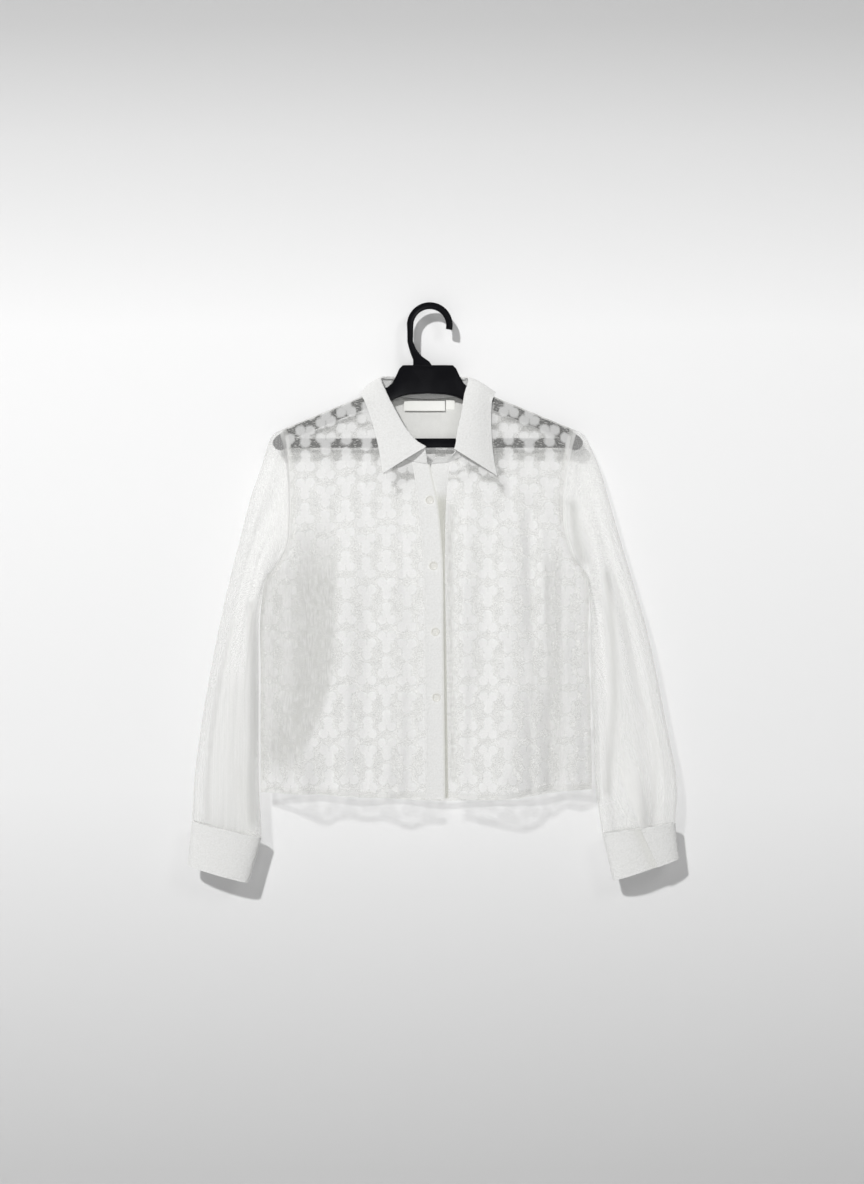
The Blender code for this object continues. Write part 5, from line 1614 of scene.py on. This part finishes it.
t = np.linspace(0, len(ROLL) - 1, COLLAR_STEPS)
centre, _, out, to_seam, seam, _ = collar_sections(t)
past_fall = bell(t[:, None] - (len(FALL_EDGE) - 1), STAND_END_STEPS)
gap = STAND_GAP + STAND_END_GAP * past_fall
top = centre + to_seam * (ROLL_LIMB + gap) - out * (ROLL_ROUND - CREPE_THICK)
rise = unit(top - seam)
low = seam + rise * (STAND_LIFT + STAND_LIFT_OVER_ARM * bell(seam[:, 1:2], STAND_LIFT_WIDTH))
parts = np.linspace(0, 1, STAND_ROWS)[:, None, None]
stand_grid = (top[None] * (1 - parts) + low[None] * parts)[:, ::-1]
stand_grid = pebbled(stand_grid, CRINKLE_DEPTH / 4, 2.4)

for name, grid, held, cut_size, area in (
    ("collar_fall", fall_grid, "folded", (0.425, 0.075), 0.0199),
    ("collar_stand", stand_grid, "draped", (0.415, 0.030), 0.0088),
):
    piece = cloth(name, grid, CREPE_THICK, COLLAR_STEPS // 2)
    settle(piece, crepe, "crepe_trim", name)


# Label and size tab: woven satin tape without any lettering, sewn inside the back below the
# neck seam by a few stitches at their ends.

LABEL_BOXES = {"neck_label": (-34.0, 21.5, -136.5, -123.0), "size_tab": (23.0, 34.5, -134.5, -122.2)}
LABEL_THICK = 1.0
LABEL_BEHIND = 2.1
LABEL_TURN = 1.5

# Damask tape of bright polyester: a soft shine over fine ribs that run across it
tape, tree, shader = finish("woven_damask_tape")
place = node(tree, "TexCoord").outputs["Object"]
rib = node(tree, "TexWave", {"Scale": 520.0, "bands_direction": "Z"}, {"Vector": place})
bump = node(tree, "Bump", {"Strength": 0.25, "Distance": 0.0002}, {"Height": rib.outputs["Fac"]})
weft = node(
    tree, "Mix", {"data_type": "RGBA", 6: linear("e6e6e1"), 7: linear("f0f0ec")},
    {0: rib.outputs["Fac"]},
)
dress(shader, {"Base Color": weft.outputs[2], "Normal": bump}, {"Roughness": 0.5})

for name, (low_x, high_x, low_z, high_z) in LABEL_BOXES.items():
    flat = np.stack(np.meshgrid(np.linspace(low_x, high_x, 24), np.linspace(high_z, low_z, 10)), axis=-1)
    grid = on_layer(flat, "back", -LABEL_BEHIND)
    label = cloth(name, grid - np.array([0.0, LABEL_THICK, 0.0]), LABEL_THICK)
    label.visible_shadow = name == "neck_label"
    settle(label, tape, "label_tape", name)
    cut_size = ((high_x - low_x) * MM, (high_z - low_z + LABEL_TURN) * MM)


# Stitching: lockstitch in white thread along the collar's edges, the cuffs, the two bands and
# the hem, sewn through the finished edge.

STITCH_LENGTH = 2.3
STITCH_PITCH = 3.1
STITCH_WIDTH = 0.42
STITCH_HEIGHT = 0.22
HEM_STITCH_IN = 0.8
STITCH_SHOULDER = 0.36


def inside_edge(grid, edge, distance):
    """Points and normals of the line that runs at one distance inside an edge of a grid."""
    normals = grid_normals(grid)
    if edge in ("first", "last"):
        grid, normals = grid.transpose(1, 0, 2), normals.transpose(1, 0, 2)
    if edge in ("low", "last"):
        grid, normals = grid[::-1], normals[::-1]
    depth = arc_along(grid, 0, [0, 1, 2])
    points, facing = (
        np.array([
            [np.interp(distance, depth[:, c], line) for line in values[:, c].T]
            for c in range(grid.shape[1])
        ])
        for values in (grid, normals)
    )
    return points, unit(facing)


def sew(name, lines, slot="crepe_trim"):
    """One mesh of stitches along lines of points and normals, each shorter by trim at both ends."""
    corners, faces = [], []
    shape = [(-0.5, 0.0, 0.0)]
    for s in (-STITCH_SHOULDER, STITCH_SHOULDER):
        shape += [(s, 0.5, 0.0), (s, 0.0, 1.0), (s, -0.5, 0.0), (s, 0.0, -1.0)]
    shape.append((0.5, 0.0, 0.0))
    rings = [(0, 1 + i, 1 + (i + 1) % 4) for i in range(4)]
    rings += [(1 + i, 5 + i, 5 + (i + 1) % 4, 1 + (i + 1) % 4) for i in range(4)]
    rings += [(9, 5 + (i + 1) % 4, 5 + i) for i in range(4)]
    for (points, normals), trim in lines:
        length = np.concatenate([[0.0], np.cumsum(np.linalg.norm(np.diff(points, axis=0), axis=1))])
        for start in np.arange(trim, length[-1] - trim - STITCH_LENGTH, STITCH_PITCH):
            ends = [
                np.array([np.interp(place, length, points[:, k]) for k in range(3)])
                for place in (start, start + STITCH_LENGTH)
            ]
            out = unit(np.array([np.interp(start, length, normals[:, k]) for k in range(3)]))
            step = ends[1] - ends[0]
            side = unit(np.cross(out, step))
            middle = (ends[0] + ends[1]) / 2
            base = len(corners)
            for s, w, h in shape:
                corners.append((middle + step * s + side * w * STITCH_WIDTH + out * h * STITCH_HEIGHT) * MM)
            faces += [tuple(base + i for i in face) for face in rings]
    mesh = bpy.data.meshes.new(name)
    mesh.from_pydata([tuple(corner) for corner in corners], [], faces)
    made = bpy.data.objects.new(name, mesh)
    bpy.context.scene.collection.objects.link(made)
    only(made)
    bpy.ops.object.mode_set(mode="EDIT")
    bpy.ops.mesh.select_all(action="SELECT")
    bpy.ops.mesh.normals_make_consistent(inside=False)
    bpy.ops.object.mode_set(mode="OBJECT")
    mesh.shade_smooth()
    settle(made, thread, slot)


sew("collar_stitching", [(inside_edge(fall_grid, edge, 5.0), 6.0) for edge in ("low", "first", "last")])
for name, grid in cuff_grids.items():
    sew(f"{name}_stitching", [
        (inside_edge(grid, edge, 4.0), trim)
        for edge, trim in (("top", 3.0), ("low", 3.0), ("first", 4.0), ("last", 4.0))
    ])
for name, grid in placket_grids.items():
    sew(f"{name}_stitching", [(inside_edge(grid, edge, 2.5), 2.0) for edge in ("first", "last")])
sew("hem_stitching", [
    (inside_edge(grid, "low", HEM_TURN - HEM_STITCH_IN), 0.5) for grid in (right_grid, left_grid, back_grid)
], "sheer_body")


# Wall, floor, light and camera: a plain pale studio wall close behind the hanger, one rather
# hard light from the upper left and softer ones from the right and the front.

WALL_BACK = 0.0195
WALL_TILT = 0.8
FLOOR_Z = -1.30
CAMERA_AWAY = 2.2
FRAME_HEIGHT = 1.598
FRAME_CENTRE = (0.004, -0.382)
SHIRT_MIDDLE = (0.0, 0.0, -0.42)

bpy.ops.object.select_all(action="DESELECT")
bpy.ops.mesh.primitive_plane_add(
    size=8.0, location=(0, WALL_BACK, 0), rotation=(math.radians(90 + WALL_TILT), 0, 0)
)
studio_wall = bpy.context.object
studio_wall.name = "studio_wall"
bpy.ops.mesh.primitive_plane_add(size=8.0, location=(0, WALL_BACK - 3.9, FLOOR_Z))
studio_floor = bpy.context.object
studio_floor.name = "studio_floor"

# Painted plaster: matt, and darker away from the middle, where the studio's light falls off
paint, tree, shader = finish("painted_plaster")
place = node(tree, "TexCoord").outputs["Object"]
apart = node(tree, "SeparateXYZ", (), {0: place})
height = node(
    tree, "MapRange", {"From Min": -1.3, "From Max": 0.5, "To Min": 0.0, "To Max": 1.0},
    {"Value": apart.outputs[2]},
)
fall_off = node(tree, "ValToRGB", (), {0: height})
stops = fall_off.color_ramp.elements
stops[0].color, stops[0].position = linear("cacaca"), 0.07
stops[1].color, stops[1].position = linear("b6b6b6"), 1.0
for position, code in (
    (0.23, "dcdcdc"), (0.36, "eaeaea"), (0.57, "efefef"), (0.71, "f0f0f0"), (0.85, "d8d8d8"), (0.94, "bfbfbf")
):
    stops.new(position).color = linear(code)
behind = node(tree, "NewGeometry").outputs["Backfacing"]
clear = node(tree, "BsdfTransparent")
seen = node(tree, "MixShader", (), {0: behind, 1: shader, 2: clear})
dress(shader, {"Base Color": fall_off}, {"Roughness": 0.95, "Specular IOR Level": 0.0})
dress(tree.nodes["Material Output"], {"Surface": seen}, {})

for surface in (studio_wall, studio_floor):
    only(surface)
    bpy.ops.object.transform_apply(location=True, rotation=True, scale=True)
    surface.data.materials.append(paint)
studio_wall.visible_shadow = False


def area_light(name, place, size, power, glossy=True):
    """A round soft box that is turned to the middle of the shirt."""
    light = bpy.data.lights.new(name, "AREA")
    light.shape = "DISK"
    light.size = size
    light.energy = power
    made = bpy.data.objects.new(name, light)
    made.location = place
    made.rotation_euler = (Vector(SHIRT_MIDDLE) - Vector(place)).to_track_quat("-Z", "Y").to_euler()
    made.visible_glossy = glossy
    bpy.context.scene.collection.objects.link(made)


area_light("key_light", (-2.40, -5.00, 3.18), 0.40, 325.0)
area_light("second_light", (1.60, -2.20, 1.10), 0.8, 9.5)
area_light("front_fill", (0.0, -3.2, -0.3), 2.2, 11.5, glossy=False)
area_light("back_fill", (0.6, 2.6, 0.6), 1.8, 20.0)

world = bpy.data.worlds.new("pale_studio")
world.use_nodes = True
dress(world.node_tree.nodes["Background"], {}, {"Color": linear("f4f4f4"), "Strength": 0.13})
bpy.context.scene.world = world

camera = bpy.data.cameras.new("camera")
camera.sensor_fit = "VERTICAL"
camera.sensor_height = 24.0
camera.lens = camera.sensor_height * CAMERA_AWAY / FRAME_HEIGHT
camera_object = bpy.data.objects.new("camera", camera)
camera_object.location = (FRAME_CENTRE[0], -CAMERA_AWAY, FRAME_CENTRE[1])
camera_object.rotation_euler = (math.pi / 2, 0, 0)
bpy.context.scene.collection.objects.link(camera_object)
bpy.context.scene.camera = camera_object
bpy.context.scene.view_settings.view_transform = "Standard"
# Light crosses up to six layers of sheer cloth, each with two faces
bpy.context.scene.cycles.transparent_max_bounces = 28
bpy.context.scene.cycles.max_bounces = 5
bpy.context.scene.cycles.diffuse_bounces = 3
